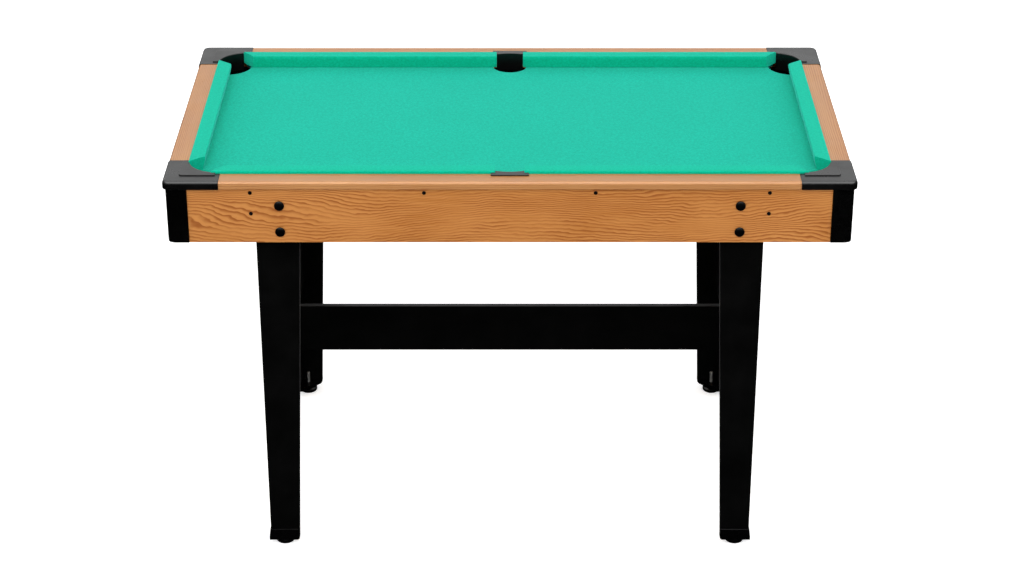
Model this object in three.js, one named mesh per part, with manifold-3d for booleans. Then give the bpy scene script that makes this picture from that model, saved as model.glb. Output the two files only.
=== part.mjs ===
// A small home pool table: a wooden cabinet with a cloth-covered bed and six pockets,
// on four L-shaped legs with levelling feet. Millimetres, +Z up, X along the length,
// Y from the front to the back, origin on the floor under the table's centre.
import * as THREE from "three";
import { mergeVertices } from "three/addons/utils/BufferGeometryUtils.js";
import Module from "manifold-3d";

const wasm = await Module();
wasm.setup();

// ---------------------------------------------------------------- driving dimensions

// The whole table. "Edge" below always means the outer edge of the top rails.
const TABLE_LENGTH = 1220;
const TABLE_WIDTH = 664;
const TABLE_HEIGHT = 760; // floor to the top of the wooden rails, feet screwed in
const GAP = 0.3; // left between pieces that touch

// Top rails: a rounded moulding on the cabinet's edge
const RAIL_WIDTH = 36.7;
const RAIL_THICKNESS = 14;
const RAIL_ROUND = 6;
const TONGUE_LENGTH = 18; // the rail's reduced end, which slides into the corner cap
const TONGUE_CLEARANCE = 2.3; // between the tongue and the cap's walls

// Aprons: the cabinet's side boards
const APRON_INSET = 6; // the rails overhang the aprons by this much
const APRON_THICKNESS = 12;
const APRON_HEIGHT = 104.7;

// Bed board and its cloth
const BED_DROP = 20; // top of the cloth below the top of the rails
const BED_THICKNESS = 12;
const CLOTH_THICKNESS = 0.8;

// Pocket openings in the bed; "in" is the distance from the edge
const CORNER_HOLE_RADIUS = 47.5;
const CORNER_DROP = 44; // the opening a ball drops through, along the diagonal
const SIDE_HOLE_MARGIN = 7.2; // the hole's radius is half the mouth and this
const SIDE_HOLE_PAST_CUSHION = 15.8; // its centre, past the line of the cushions' backs

// Cushions
const CUSHION_WIDTH = 27.5;
const CUSHION_RISE = 5; // above the top of the rails
const CUSHION_UNDERCUT = 6;
const CUSHION_ROUND = 3;
const CUSHION_CLEARANCE = 0.35; // between a cushion and the cloth under it
const CORNER_JAW_RUN = 22; // the nose starts this much further along than the back
const SIDE_POCKET_MOUTH = 52;

// Corner caps: a block round the pocket's arc, and two arms past it
const POCKET_ARC_RADIUS = 55;
const POCKET_ARC_SETBACK = 1.3; // the arc stops this far short of the rails' inner edge
const POCKET_ARC_CUT = 11.3; // the block ends this far before the arc's centre
const CAP_ARM_PAST_X = 16.3;
const CAP_ARM_PAST_Y = 13.3;
const CAP_PROUD_SIDE = 1.2;
const CAP_PROUD_TOP = 0.8;
const CAP_WALL = 3;
const CAP_LIP = 14.5; // depth of the outer wall below the top of the rails
const CAP_ROUND = 6;
const CAP_CORNER_ROUND = 12;
const CAP_PAD_IN = 26;
const CAP_PAD_RISE = 2;
const CAP_PAD_ROUND = 5;
const CAP_PAD_END_X = 8; // the raised pad stops this far short of the arm's end
const CAP_PAD_END_Y = 10;
const COLLAR_WALL = 2.6;

// Corner posts
const POST_PROUD = 2.4; // out from the aprons' faces
const POST_WIDTH = 37.4;
const POST_ROUND = 7;
const POST_FOOT_ROUND = 6;
const POST_TOP_CLEARANCE = 2.8; // under the cap's top wall

// Side-pocket trims
const TRIM_WIDTH = 67.3;
const TRIM_IN = 26.5;
const TRIM_RISE = 2.5;
const TRIM_ARC_MIDDLE = 4; // its back wall stands this far past the cushions' backs
const TRIM_ARC_END = 8;

// Pocket cups
const CUP_RADIUS = 48;
const CUP_WALL = 2.5;
const CUP_DEPTH = 70;
const CUP_FLANGE_WIDTH = 2;
const CUP_CLEARANCE = 1; // between the cup's flange and the aprons
const CUP_BOTTOM_ROUND = 10;

// Supports under the bed
const CLEAT_CLEARANCE = 13; // between a cleat's end and the corner cup's flange
const CLEAT_WIDTH = 18;
const CLEAT_HEIGHT = 18;
const BATTEN_WIDTH = 40;
const BATTEN_X = 180;

// Legs
const LEG_BOARD = 12;
const LEG_IN = 158; // from the rails' end edge to a leg's outer face
const LEG_TOP_WIDTH = 81.3;
const LEG_FOOT_WIDTH = 54.1;

// Leg bolts, through apron and leg; drops are below the top of the rails
const BOLT_IN = 45; // from the leg's outer face
const BOLT_DROPS = [48, 98.6];
const BOLT_HEAD_RADIUS = 9;
const BOLT_HEAD_HEIGHT = 4.5;
const BOLT_SHANK_RADIUS = 3;
const BOLT_TAIL = 7;
const NUT_RADIUS = 6.4;
const NUT_HEIGHT = 5;

// Braces and stretcher
const BRACE_THICKNESS = 12;
const STRETCHER_THICKNESS = 12;
const STRETCHER_BOTTOM = 255;
const STRETCHER_HEIGHT = 96;

// Foot boots and levelling feet
const BOOT_BOTTOM = 12.4;
const BOOT_FLOOR = 7.6;
const BOOT_HEIGHT = 22;
const BOOT_FLARE = 3; // how far its outer walls stand out at the bottom
const BOOT_RIM = 1.2; // and at the top
const BOOT_CHAMFER = 3;
const FOOT_RADIUS = 18;
const FOOT_EDGE_ROUND = 2.5;
const FOOT_DISC_HEIGHT = 8;
const FOOT_NECK_RADIUS = 11.5; // top of the cone above the disc
const FOOT_STUD_RADIUS = 4;
const FOOT_STUD_HEIGHT = 44; // from the floor to the top of the stud
const FOOT_IN_X = 25.2; // centre of the foot, in from the leg's outer faces
const FOOT_IN_Y = 19;
const STUD_CLEARANCE = 0.3;

// Facets of the round shapes
const ARC_STEP_DEG = 9;
const ROUND_STEPS = 4;
const TRIM_ARC_STEPS = 8;
const CUP_STEPS = 24;
const CUP_ROUND_STEPS = 2;
const FOOT_STEPS = 20;
const BOLT_STEPS = 12;

// ---------------------------------------------------------------- derived values

const HALF_X = TABLE_LENGTH / 2;
const HALF_Y = TABLE_WIDTH / 2;
const RAIL_BOTTOM = TABLE_HEIGHT - RAIL_THICKNESS;
const APRON_TOP = RAIL_BOTTOM - GAP;
const APRON_BOTTOM = APRON_TOP - APRON_HEIGHT;
const APRON_INNER = APRON_INSET + APRON_THICKNESS; // in from the edge
const CLOTH_TOP = TABLE_HEIGHT - BED_DROP;
const CLOTH_BOTTOM = CLOTH_TOP - CLOTH_THICKNESS;
const BED_TOP = CLOTH_BOTTOM - GAP;
const BED_BOTTOM = BED_TOP - BED_THICKNESS;
const BED_EDGE_IN = APRON_INNER + GAP;
const CUSHION_IN = RAIL_WIDTH + GAP;
const CUSHION_NOSE_IN = CUSHION_IN + CUSHION_WIDTH;
const UNDER_BED = BED_BOTTOM - GAP; // top of everything that touches the bed from below
const COLLAR_BOTTOM = BED_BOTTOM;
const CAP_TOP = TABLE_HEIGHT + CAP_PROUD_TOP;
const CAP_BOTTOM = TABLE_HEIGHT - CAP_LIP;
const CAP_CEILING = CAP_TOP - CAP_WALL;
const POCKET_ARC_IN = RAIL_WIDTH + POCKET_ARC_SETBACK + POCKET_ARC_RADIUS; // the arc's centre
const CAP_BLOCK_END = POCKET_ARC_IN - POCKET_ARC_CUT;
const CAP_ARM_X = CAP_BLOCK_END + CAP_ARM_PAST_X;
const CAP_ARM_Y = CAP_BLOCK_END + CAP_ARM_PAST_Y;
const JAW_START = CAP_BLOCK_END + GAP;
// The corner hole's centre lies on the diagonal, so that the drop has its stated length
const CORNER_HOLE_IN = POCKET_ARC_IN
  - (POCKET_ARC_RADIUS + CORNER_HOLE_RADIUS - CORNER_DROP) / Math.SQRT2;
const SIDE_HOLE_RADIUS = SIDE_POCKET_MOUTH / 2 + SIDE_HOLE_MARGIN;
const SIDE_HOLE_IN = CUSHION_IN + SIDE_HOLE_PAST_CUSHION;
const CUP_FLANGE_RADIUS = CUP_RADIUS + CUP_FLANGE_WIDTH;
const CUP_IN = APRON_INNER + CUP_CLEARANCE + CUP_FLANGE_RADIUS;
const POST_INSET = APRON_INSET - POST_PROUD;
const POST_TOP = CAP_CEILING - POST_TOP_CLEARANCE;
const LEG_OUTER_X = HALF_X - LEG_IN;
const BOLT_X = LEG_OUTER_X - BOLT_IN;
const LEG_OUTER_Y = HALF_Y - APRON_INNER - GAP;
const LEG_BOTTOM = BOOT_BOTTOM + BOOT_FLOOR + GAP;
const LEG_INNER_X = LEG_OUTER_X - LEG_BOARD;
const LEG_INNER_Y = LEG_OUTER_Y - LEG_BOARD;

// ---------------------------------------------------------------- shape helpers

// Points of an arc, both ends included
function arcPoints(centreX, centreY, radius, startDeg, endDeg, steps) {
  const count = steps ?? Math.max(2, Math.round(Math.abs(endDeg - startDeg) / ARC_STEP_DEG));
  const points = [];
  for (let i = 0; i <= count; i += 1) {
    const angle = THREE.MathUtils.degToRad(startDeg + ((endDeg - startDeg) * i) / count);
    points.push([centreX + radius * Math.cos(angle), centreY + radius * Math.sin(angle)]);
  }
  return points;
}

function extrusion(points, depth) {
  const shape = new THREE.Shape(points.map(([x, y]) => new THREE.Vector2(x, y)));
  return new THREE.ExtrudeGeometry(shape, { depth, bevelEnabled: false });
}

// A closed geometry as a solid that can be joined and cut
function solidOf(geometry) {
  const bare = geometry.index ? geometry.toNonIndexed() : geometry.clone();
  bare.deleteAttribute("normal");
  bare.deleteAttribute("uv");
  const merged = mergeVertices(bare, 1e-4);
  return new wasm.Manifold(new wasm.Mesh({
    numProp: 3,
    vertProperties: new Float32Array(merged.attributes.position.array),
    triVerts: new Uint32Array(merged.index.array),
  }));
}

// Outline in X and Y, standing from one height to another
function prismZ(points, low, high) {
  return solidOf(extrusion(points, high - low).translate(0, 0, low));
}

// Outline in X and Z, running along Y
function prismY(points, low, high) {
  const geometry = extrusion(points, high - low).translate(0, 0, -high);
  return solidOf(geometry.rotateX(Math.PI / 2));
}

// Outline in Y and Z, running along X
function prismX(points, low, high) {
  const turn = new THREE.Matrix4().makeBasis(
    new THREE.Vector3(0, 1, 0), new THREE.Vector3(0, 0, 1), new THREE.Vector3(1, 0, 0));
  return solidOf(extrusion(points, high - low).translate(0, 0, low).applyMatrix4(turn));
}

function block(lowX, lowY, lowZ, highX, highY, highZ) {
  const box = new THREE.BoxGeometry(highX - lowX, highY - lowY, highZ - lowZ);
  return solidOf(box.translate((lowX + highX) / 2, (lowY + highY) / 2, (lowZ + highZ) / 2));
}

// A turned piece on the Z axis, from its profile of radii and heights
function turnedGeometry(profile, steps) {
  const points = profile.map(([radius, height]) => new THREE.Vector2(radius, height));
  return geometryOf(solidOf(new THREE.LatheGeometry(points, steps).rotateX(Math.PI / 2)));
}

function geometryOf(solid) {
  const mesh = solid.getMesh();
  const geometry = new THREE.BufferGeometry();
  geometry.setAttribute("position", new THREE.BufferAttribute(mesh.vertProperties, 3));
  geometry.setIndex(new THREE.BufferAttribute(mesh.triVerts, 1));
  geometry.computeVertexNormals();
  return geometry;
}

// A copy of a piece from the +X +Y quarter in another quarter, its faces still pointing out
function inQuarter(geometry, signX, signY) {
  const copy = geometry.clone().scale(signX, signY, 1);
  if (signX * signY < 0) {
    const index = copy.index.array;
    for (let i = 0; i < index.length; i += 3) {
      [index[i + 1], index[i + 2]] = [index[i + 2], index[i + 1]];
    }
  }
  copy.computeVertexNormals();
  return copy;
}

// A point of the +X +Y quarter, from its distances in from the two edges
function fromCorner(inX, inY) {
  return [HALF_X - inX, HALF_Y - inY];
}

// A rounded-top section, from its outer face, inner face, bottom and top
function roundedSection(outer, inner, bottom, top, round) {
  return [[inner, bottom], [outer, bottom],
    ...arcPoints(outer - round, top - round, round, 0, 90, ROUND_STEPS),
    [inner, top]];
}

// ---------------------------------------------------------------- cabinet

const RAIL_END_X = HALF_X - CAP_ARM_X - GAP;
const RAIL_END_Y = HALF_Y - CAP_ARM_Y - GAP;
const TONGUE_SET_IN = CAP_WALL + TONGUE_CLEARANCE; // from both sides of the rail
const TONGUE_TOP = CAP_CEILING - TONGUE_CLEARANCE;

function longRail() {
  const inner = HALF_Y - RAIL_WIDTH;
  const section = roundedSection(HALF_Y, inner, RAIL_BOTTOM, TABLE_HEIGHT, RAIL_ROUND);
  const end = RAIL_END_X + TONGUE_LENGTH;
  const tongue = block(-end, inner + TONGUE_SET_IN, RAIL_BOTTOM, end, HALF_Y - TONGUE_SET_IN, TONGUE_TOP);
  return prismX(section, -RAIL_END_X, RAIL_END_X).add(tongue);
}

function endRail() {
  const inner = HALF_X - RAIL_WIDTH;
  const section = roundedSection(HALF_X, inner, RAIL_BOTTOM, TABLE_HEIGHT, RAIL_ROUND);
  const end = RAIL_END_Y + TONGUE_LENGTH;
  const tongue = block(inner + TONGUE_SET_IN, -end, RAIL_BOTTOM, HALF_X - TONGUE_SET_IN, end, TONGUE_TOP);
  return prismY(section, -RAIL_END_Y, RAIL_END_Y).add(tongue);
}

// A hole for a leg bolt, along Y through whatever stands between two depths
function boltHole(x, z, lowY, highY) {
  const outline = arcPoints(x, z, BOLT_SHANK_RADIUS + GAP, 0, 360, BOLT_STEPS).slice(1);
  return prismY(outline, lowY, highY);
}

function boltHoles(xs, lowY, highY) {
  let holes = null;
  for (const x of xs) {
    for (const drop of BOLT_DROPS) {
      const hole = boltHole(x, TABLE_HEIGHT - drop, lowY, highY);
      holes = holes ? holes.add(hole) : hole;
    }
  }
  return holes;
}

function longApron() {
  const end = HALF_X - POST_INSET - POST_WIDTH - GAP;
  const board = block(-end, HALF_Y - APRON_INNER, APRON_BOTTOM, end, HALF_Y - APRON_INSET, APRON_TOP);
  return board.subtract(boltHoles([-BOLT_X, BOLT_X], LEG_OUTER_Y, HALF_Y));
}

function endApron() {
  const end = HALF_Y - POST_INSET - POST_WIDTH - GAP;
  return block(HALF_X - APRON_INNER, -end, APRON_BOTTOM, HALF_X - APRON_INSET, end, APRON_TOP);
}

// An L-shaped moulding, its foot and its outer corner rounded
function cornerPost() {
  const outer = POST_INSET;
  const inner = APRON_INNER;
  const arm = POST_INSET + POST_WIDTH;
  const [cornerX, cornerY] = fromCorner(outer + POST_ROUND, outer + POST_ROUND);
  const outline = [fromCorner(arm, outer), fromCorner(arm, inner), fromCorner(inner, inner),
    fromCorner(inner, arm), fromCorner(outer, arm), ...arcPoints(cornerX, cornerY, POST_ROUND, 0, 90)];
  const bottom = APRON_BOTTOM;
  const round = POST_FOOT_ROUND;
  const elevation = (half) => [[half - arm, bottom],
    ...arcPoints(half - outer - round, bottom + round, round, -90, 0, ROUND_STEPS),
    [half - outer, POST_TOP], [half - arm, POST_TOP]];
  return prismZ(outline, bottom, POST_TOP)
    .intersect(prismY(elevation(HALF_X), HALF_Y - arm, HALF_Y - outer))
    .intersect(prismX(elevation(HALF_Y), HALF_X - arm, HALF_X - outer));
}

// The arc of a corner pocket between two rays that meet a block's ends, from dy to dx side
function pocketArc(radius, blockEnd) {
  const [x, y] = fromCorner(POCKET_ARC_IN, POCKET_ARC_IN);
  const offset = THREE.MathUtils.radToDeg(Math.asin((POCKET_ARC_IN - blockEnd) / radius));
  return arcPoints(x, y, radius, 90 - offset, offset);
}

// Outline of the cap's pieces: two arms joined round the pocket's arc
function cornerOutline(outerIn, innerIn, armX, armY, blockEnd, radius, corner) {
  return [fromCorner(armX, outerIn), fromCorner(armX, innerIn), fromCorner(blockEnd, innerIn),
    ...pocketArc(radius, blockEnd),
    fromCorner(innerIn, blockEnd), fromCorner(innerIn, armY), fromCorner(outerIn, armY),
    ...corner];
}

function outerCorner(outerIn, round) {
  const [x, y] = fromCorner(outerIn + round, outerIn + round);
  return arcPoints(x, y, round, 0, 90);
}

function cornerCap() {
  const outside = -CAP_PROUD_SIDE;
  const far = POCKET_ARC_IN + POCKET_ARC_RADIUS;
  const shell = prismZ(
    cornerOutline(outside, RAIL_WIDTH, CAP_ARM_X, CAP_ARM_Y, CAP_BLOCK_END, POCKET_ARC_RADIUS,
      outerCorner(outside, CAP_CORNER_ROUND)), CAP_BOTTOM, CAP_TOP);
  const sectionY = roundedSection(HALF_Y - outside, HALF_Y - far, CAP_BOTTOM, CAP_TOP, CAP_ROUND);
  const sectionX = roundedSection(HALF_X - outside, HALF_X - far, CAP_BOTTOM, CAP_TOP, CAP_ROUND);
  const rounded = shell
    .intersect(prismX(sectionY, HALF_X - far, HALF_X - outside))
    .intersect(prismY(sectionX, HALF_Y - far, HALF_Y - outside));

  // The hollow under the cap, open below and at both arms' ends
  const innerWall = RAIL_WIDTH - CAP_WALL;
  const hollow = prismZ(
    cornerOutline(outside + CAP_WALL, innerWall, CAP_ARM_X + 1, CAP_ARM_Y + 1,
      CAP_BLOCK_END - CAP_WALL, POCKET_ARC_RADIUS + COLLAR_WALL,
      outerCorner(outside + CAP_WALL, CAP_CORNER_ROUND - CAP_WALL)),
    CAP_BOTTOM - 1, CAP_CEILING);

  // The raised pad round the pocket
  const pad = prismZ(
    cornerOutline(CAP_PAD_IN, RAIL_WIDTH, CAP_ARM_X - CAP_PAD_END_X, CAP_ARM_Y - CAP_PAD_END_Y,
      CAP_BLOCK_END, POCKET_ARC_RADIUS, outerCorner(CAP_PAD_IN, CAP_PAD_ROUND)),
    CAP_TOP - 1, CAP_TOP + CAP_PAD_RISE);

  // The collar that leads a ball down through the bed
  const collar = prismZ(
    [...pocketArc(POCKET_ARC_RADIUS, CAP_BLOCK_END),
      ...pocketArc(POCKET_ARC_RADIUS + COLLAR_WALL, CAP_BLOCK_END).reverse()],
    COLLAR_BOTTOM, CAP_TOP - 1);

  return rounded.subtract(hollow).add(pad).add(collar);
}

// ---------------------------------------------------------------- side pockets

const SIDE_TAB_HALF = SIDE_POCKET_MOUTH / 2 - GAP;

// Points of the trim's back wall, a shallow arc between the two jaws
function trimArc() {
  const sagitta = TRIM_ARC_END - TRIM_ARC_MIDDLE;
  const radius = (SIDE_TAB_HALF ** 2 + sagitta ** 2) / (2 * sagitta);
  const half = THREE.MathUtils.radToDeg(Math.asin(SIDE_TAB_HALF / radius));
  const centreIn = CUSHION_IN + TRIM_ARC_MIDDLE + radius;
  return arcPoints(0, HALF_Y - centreIn, radius, 90 - half, 90 + half, TRIM_ARC_STEPS);
}

function sidePocketTrim() {
  const padTop = TABLE_HEIGHT + TRIM_RISE;
  const padBottom = TABLE_HEIGHT + GAP;
  const padHalf = TRIM_WIDTH / 2;
  const pad = block(-padHalf, HALF_Y - RAIL_WIDTH - GAP, padBottom, padHalf, HALF_Y - TRIM_IN, padTop);
  const wall = prismZ(
    [...trimArc(), [-SIDE_TAB_HALF, HALF_Y - CUSHION_IN], [SIDE_TAB_HALF, HALF_Y - CUSHION_IN]],
    COLLAR_BOTTOM, padTop);
  const bridge = block(-SIDE_TAB_HALF, HALF_Y - CUSHION_IN - 1, padBottom,
    SIDE_TAB_HALF, HALF_Y - TRIM_IN, padTop);
  return wall.add(pad).add(bridge);
}

// A cup of revolution, open at the top, its flange under the bed
function pocketCup(x, y) {
  const inner = CUP_RADIUS - CUP_WALL;
  const bottom = UNDER_BED - CUP_DEPTH;
  const round = CUP_BOTTOM_ROUND;
  const flange = CUP_FLANGE_RADIUS;
  const profile = [[0, bottom],
    ...arcPoints(CUP_RADIUS - round, bottom + round, round, -90, 0, CUP_ROUND_STEPS),
    [CUP_RADIUS, UNDER_BED - CUP_WALL], [flange, UNDER_BED - CUP_WALL], [flange, UNDER_BED],
    [inner, UNDER_BED],
    ...arcPoints(inner - round + CUP_WALL, bottom + round, round - CUP_WALL, 0, -90, CUP_ROUND_STEPS),
    [0, bottom + CUP_WALL]];
  return turnedGeometry(profile, CUP_STEPS).translate(x, y, 0);
}

// ---------------------------------------------------------------- bed and cushions

// The notch that a corner pocket cuts from the bed, open to the bed's corner
function cornerNotch(low, high) {
  const [x, y] = fromCorner(CORNER_HOLE_IN, CORNER_HOLE_IN);
  const round = prismZ(arcPoints(x, y, CORNER_HOLE_RADIUS, 0, 360).slice(1), low, high);
  return round.add(block(x, y, low, HALF_X, HALF_Y, high));
}

function sideNotch(low, high) {
  const y = HALF_Y - SIDE_HOLE_IN;
  const round = prismZ(arcPoints(0, y, SIDE_HOLE_RADIUS, 0, 360).slice(1), low, high);
  return round.add(block(-SIDE_HOLE_RADIUS, y, low, SIDE_HOLE_RADIUS, HALF_Y, high));
}

function bedSheet(bottom, top) {
  const x = HALF_X - BED_EDGE_IN;
  const y = HALF_Y - BED_EDGE_IN;
  let sheet = block(-x, -y, bottom, x, y, top);
  const corner = geometryOf(cornerNotch(bottom - 1, top + 1));
  const side = geometryOf(sideNotch(bottom - 1, top + 1));
  for (const signY of [-1, 1]) {
    sheet = sheet.subtract(solidOf(inQuarter(side, 1, signY)));
    for (const signX of [-1, 1]) {
      sheet = sheet.subtract(solidOf(inQuarter(corner, signX, signY)));
    }
  }
  return sheet;
}

// Section of a cushion: distances along the first axis, heights along the second
function cushionSection(half) {
  const back = half - CUSHION_IN;
  const nose = half - CUSHION_NOSE_IN;
  const bottom = CLOTH_TOP + CUSHION_CLEARANCE;
  const top = TABLE_HEIGHT + CUSHION_RISE;
  const round = CUSHION_ROUND;
  return [[nose + CUSHION_UNDERCUT, bottom], [back, bottom],
    ...arcPoints(back - round, top - round, round, 0, 90, ROUND_STEPS),
    ...arcPoints(nose + round, top - round, round, 90, 180, ROUND_STEPS)];
}

// One of the two cushions of a long side, from the side pocket to the corner pocket
function longCushion() {
  const start = SIDE_POCKET_MOUTH / 2;
  const outline = [[start, HALF_Y - CUSHION_NOSE_IN],
    fromCorner(JAW_START + CORNER_JAW_RUN, CUSHION_NOSE_IN), fromCorner(JAW_START, CUSHION_IN),
    [start, HALF_Y - CUSHION_IN]];
  const bar = prismX(cushionSection(HALF_Y), start, HALF_X - JAW_START);
  return bar.intersect(prismZ(outline, CLOTH_TOP, TABLE_HEIGHT + CUSHION_RISE + 1));
}

function endCushion() {
  const back = HALF_X - CUSHION_IN;
  const nose = HALF_X - CUSHION_NOSE_IN;
  const backEnd = HALF_Y - JAW_START;
  const noseEnd = backEnd - CORNER_JAW_RUN;
  const outline = [[back, -backEnd], [back, backEnd], [nose, noseEnd], [nose, -noseEnd]];
  const bar = prismY(cushionSection(HALF_X), -backEnd, backEnd);
  return bar.intersect(prismZ(outline, CLOTH_TOP, TABLE_HEIGHT + CUSHION_RISE + 1));
}

// ---------------------------------------------------------------- supports under the bed

function endCleat() {
  const high = HALF_X - APRON_INNER - GAP;
  const end = HALF_Y - CUP_IN - CUP_FLANGE_RADIUS - CLEAT_CLEARANCE;
  return block(high - CLEAT_WIDTH, -end, UNDER_BED - CLEAT_HEIGHT, high, end, UNDER_BED);
}

function bedBatten() {
  const end = HALF_Y - APRON_INNER - GAP;
  return block(BATTEN_X - BATTEN_WIDTH / 2, -end, UNDER_BED - CLEAT_HEIGHT,
    BATTEN_X + BATTEN_WIDTH / 2, end, UNDER_BED);
}

// ---------------------------------------------------------------- legs, braces and stretcher

// One tapered board of a leg: its outer edge is upright, its inner edge slopes
function taperedBoard(outer, bottom, top) {
  return [[outer, bottom], [outer, top], [outer - LEG_TOP_WIDTH, top], [outer - LEG_FOOT_WIDTH, bottom]];
}

function leg() {
  const facing = prismY(taperedBoard(LEG_OUTER_X, LEG_BOTTOM, UNDER_BED), LEG_INNER_Y, LEG_OUTER_Y);
  const side = prismX(taperedBoard(LEG_OUTER_Y, LEG_BOTTOM, UNDER_BED), LEG_INNER_X, LEG_OUTER_X);
  return facing.add(side).subtract(boltHoles([BOLT_X], LEG_INNER_Y - 1, HALF_Y));
}

// A carriage bolt with its nut inside the leg, along Y
function legBolt(drop) {
  const face = HALF_Y - APRON_INSET + GAP; // seat of the head on the apron
  const nut = LEG_INNER_Y - GAP;
  const steps = BOLT_STEPS;
  const profile = [[0, nut - BOLT_TAIL], [BOLT_SHANK_RADIUS, nut - BOLT_TAIL],
    [BOLT_SHANK_RADIUS, face], [BOLT_HEAD_RADIUS, face],
    [BOLT_HEAD_RADIUS, face + BOLT_HEAD_HEIGHT * 0.3],
    [BOLT_HEAD_RADIUS * 0.86, face + BOLT_HEAD_HEIGHT * 0.68],
    [BOLT_HEAD_RADIUS * 0.5, face + BOLT_HEAD_HEIGHT * 0.93],
    [0, face + BOLT_HEAD_HEIGHT]];
  const points = profile.map(([radius, along]) => new THREE.Vector2(radius, along));
  const bolt = solidOf(new THREE.LatheGeometry(points, steps));
  const hexagon = arcPoints(0, 0, NUT_RADIUS, 0, 300, 5);
  const hexNut = prismY(hexagon, nut - NUT_HEIGHT, nut);
  return geometryOf(bolt.add(hexNut)).translate(BOLT_X, 0, TABLE_HEIGHT - drop);
}

function endBrace() {
  const high = LEG_INNER_X - GAP;
  const end = LEG_INNER_Y - GAP;
  return block(high - BRACE_THICKNESS, -end, STRETCHER_BOTTOM,
    high, end, STRETCHER_BOTTOM + STRETCHER_HEIGHT);
}

function stretcher() {
  const end = LEG_INNER_X - GAP - BRACE_THICKNESS - GAP;
  return block(-end, -STRETCHER_THICKNESS / 2, STRETCHER_BOTTOM,
    end, STRETCHER_THICKNESS / 2, STRETCHER_BOTTOM + STRETCHER_HEIGHT);
}

// ---------------------------------------------------------------- feet

const FOOT_X = LEG_OUTER_X - FOOT_IN_X;
const FOOT_Y = LEG_OUTER_Y - FOOT_IN_Y;

// Section of the boot's outer wall: upright at the floor, then sloping in to a thin rim
function bootWall(face) {
  const shoulder = BOOT_BOTTOM + BOOT_FLOOR;
  const top = BOOT_BOTTOM + BOOT_HEIGHT;
  return [[face + GAP, BOOT_BOTTOM], [face + BOOT_FLARE, BOOT_BOTTOM], [face + BOOT_FLARE, shoulder],
    [face + BOOT_RIM, top], [face + GAP, top]];
}

// A plastic shoe: a three-cornered floor under the leg's end, which takes the foot's stud,
// and an outer wall along each of the leg's two outer faces
function footBoot() {
  const outX = LEG_OUTER_X + BOOT_FLARE;
  const outY = LEG_OUTER_Y + BOOT_FLARE;
  const endX = LEG_OUTER_X - LEG_FOOT_WIDTH;
  const endY = LEG_OUTER_Y - LEG_FOOT_WIDTH;
  const floorTop = BOOT_BOTTOM + BOOT_FLOOR;
  const top = BOOT_BOTTOM + BOOT_HEIGHT;
  const floorOutline = [[outX, outY], [endX, outY], [endX, LEG_INNER_Y], [LEG_INNER_X, endY], [outX, endY]];
  const floor = prismZ(floorOutline, BOOT_BOTTOM, floorTop);
  // Each wall is cut where the two meet, so that they join in a mitre
  const wallX = prismY(bootWall(LEG_OUTER_X), endY, outY);
  const wallY = prismX(bootWall(LEG_OUTER_Y), endX, outX);
  const corner = prismY([...bootWall(LEG_OUTER_X).slice(1, 4), [endX, top], [endX, BOOT_BOTTOM]], endY, outY)
    .intersect(prismX([...bootWall(LEG_OUTER_Y).slice(1, 4), [endY, top], [endY, BOOT_BOTTOM]], endX, outX));
  // The floor's two ends are chamfered underneath
  const chamfer = (end, out) => [[end, BOOT_BOTTOM + BOOT_CHAMFER], [end + BOOT_CHAMFER, BOOT_BOTTOM],
    [out, BOOT_BOTTOM], [out, top], [end, top]];
  const holeRadius = FOOT_STUD_RADIUS + STUD_CLEARANCE;
  const holeOutline = arcPoints(FOOT_X, FOOT_Y, holeRadius, 0, 360, FOOT_STEPS).slice(1);
  const hole = prismZ(holeOutline, BOOT_BOTTOM - 1, top);
  return floor.add(wallX).add(wallY).intersect(corner)
    .intersect(prismY(chamfer(endX, outX), endY, outY))
    .intersect(prismX(chamfer(endY, outY), endX, outX))
    .subtract(hole);
}

// A levelling foot: a disc with a sloping top, on a threaded stud
function levellingFoot() {
  const top = BOOT_BOTTOM - GAP;
  const profile = [[0, 0], [FOOT_RADIUS - FOOT_EDGE_ROUND, 0], [FOOT_RADIUS, FOOT_EDGE_ROUND],
    [FOOT_RADIUS, FOOT_DISC_HEIGHT], [FOOT_NECK_RADIUS, top], [FOOT_STUD_RADIUS, top],
    [FOOT_STUD_RADIUS, FOOT_STUD_HEIGHT - 1], [FOOT_STUD_RADIUS - 1, FOOT_STUD_HEIGHT],
    [0, FOOT_STUD_HEIGHT]];
  return turnedGeometry(profile, FOOT_STEPS).translate(FOOT_X, FOOT_Y, 0);
}

// ---------------------------------------------------------------- materials

function finish(color, roughness, metalness = 0) {
  return new THREE.MeshStandardMaterial({ color, roughness, metalness });
}

const OAK_TOP = finish(0xd6a884, 0.5);
const OAK_FACE = finish(0xbe7d41, 0.5);
const BLACK_PLASTIC = finish(0x4a494a, 0.45);
const GLOSS_BLACK = finish(0x0c0c0c, 0.25);
const BLACK_LAMINATE = finish(0x0a0a0a, 0.55);
const GREEN_CLOTH = finish(0x30c6a8, 0.95);
const PLAIN_BOARD = finish(0xa98b66, 0.8);
const BLACK_STEEL = finish(0x151515, 0.35, 0.8);

// ---------------------------------------------------------------- assembly

const table = new THREE.Group();

function place(name, geometry, material) {
  const mesh = new THREE.Mesh(geometry, material);
  mesh.name = name;
  table.add(mesh);
}

const FRONT_BACK = [["front", -1], ["back", 1]];
const LEFT_RIGHT = [["left", -1], ["right", 1]];

// One of a piece on the front and one on the back
function placeFrontBack(stem, geometry, material) {
  for (const [name, sign] of FRONT_BACK) {
    place(`${stem}_${name}`, inQuarter(geometry, 1, sign), material);
  }
}

function placeLeftRight(stem, geometry, material) {
  for (const [name, sign] of LEFT_RIGHT) {
    place(`${stem}_${name}`, inQuarter(geometry, sign, 1), material);
  }
}

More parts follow.
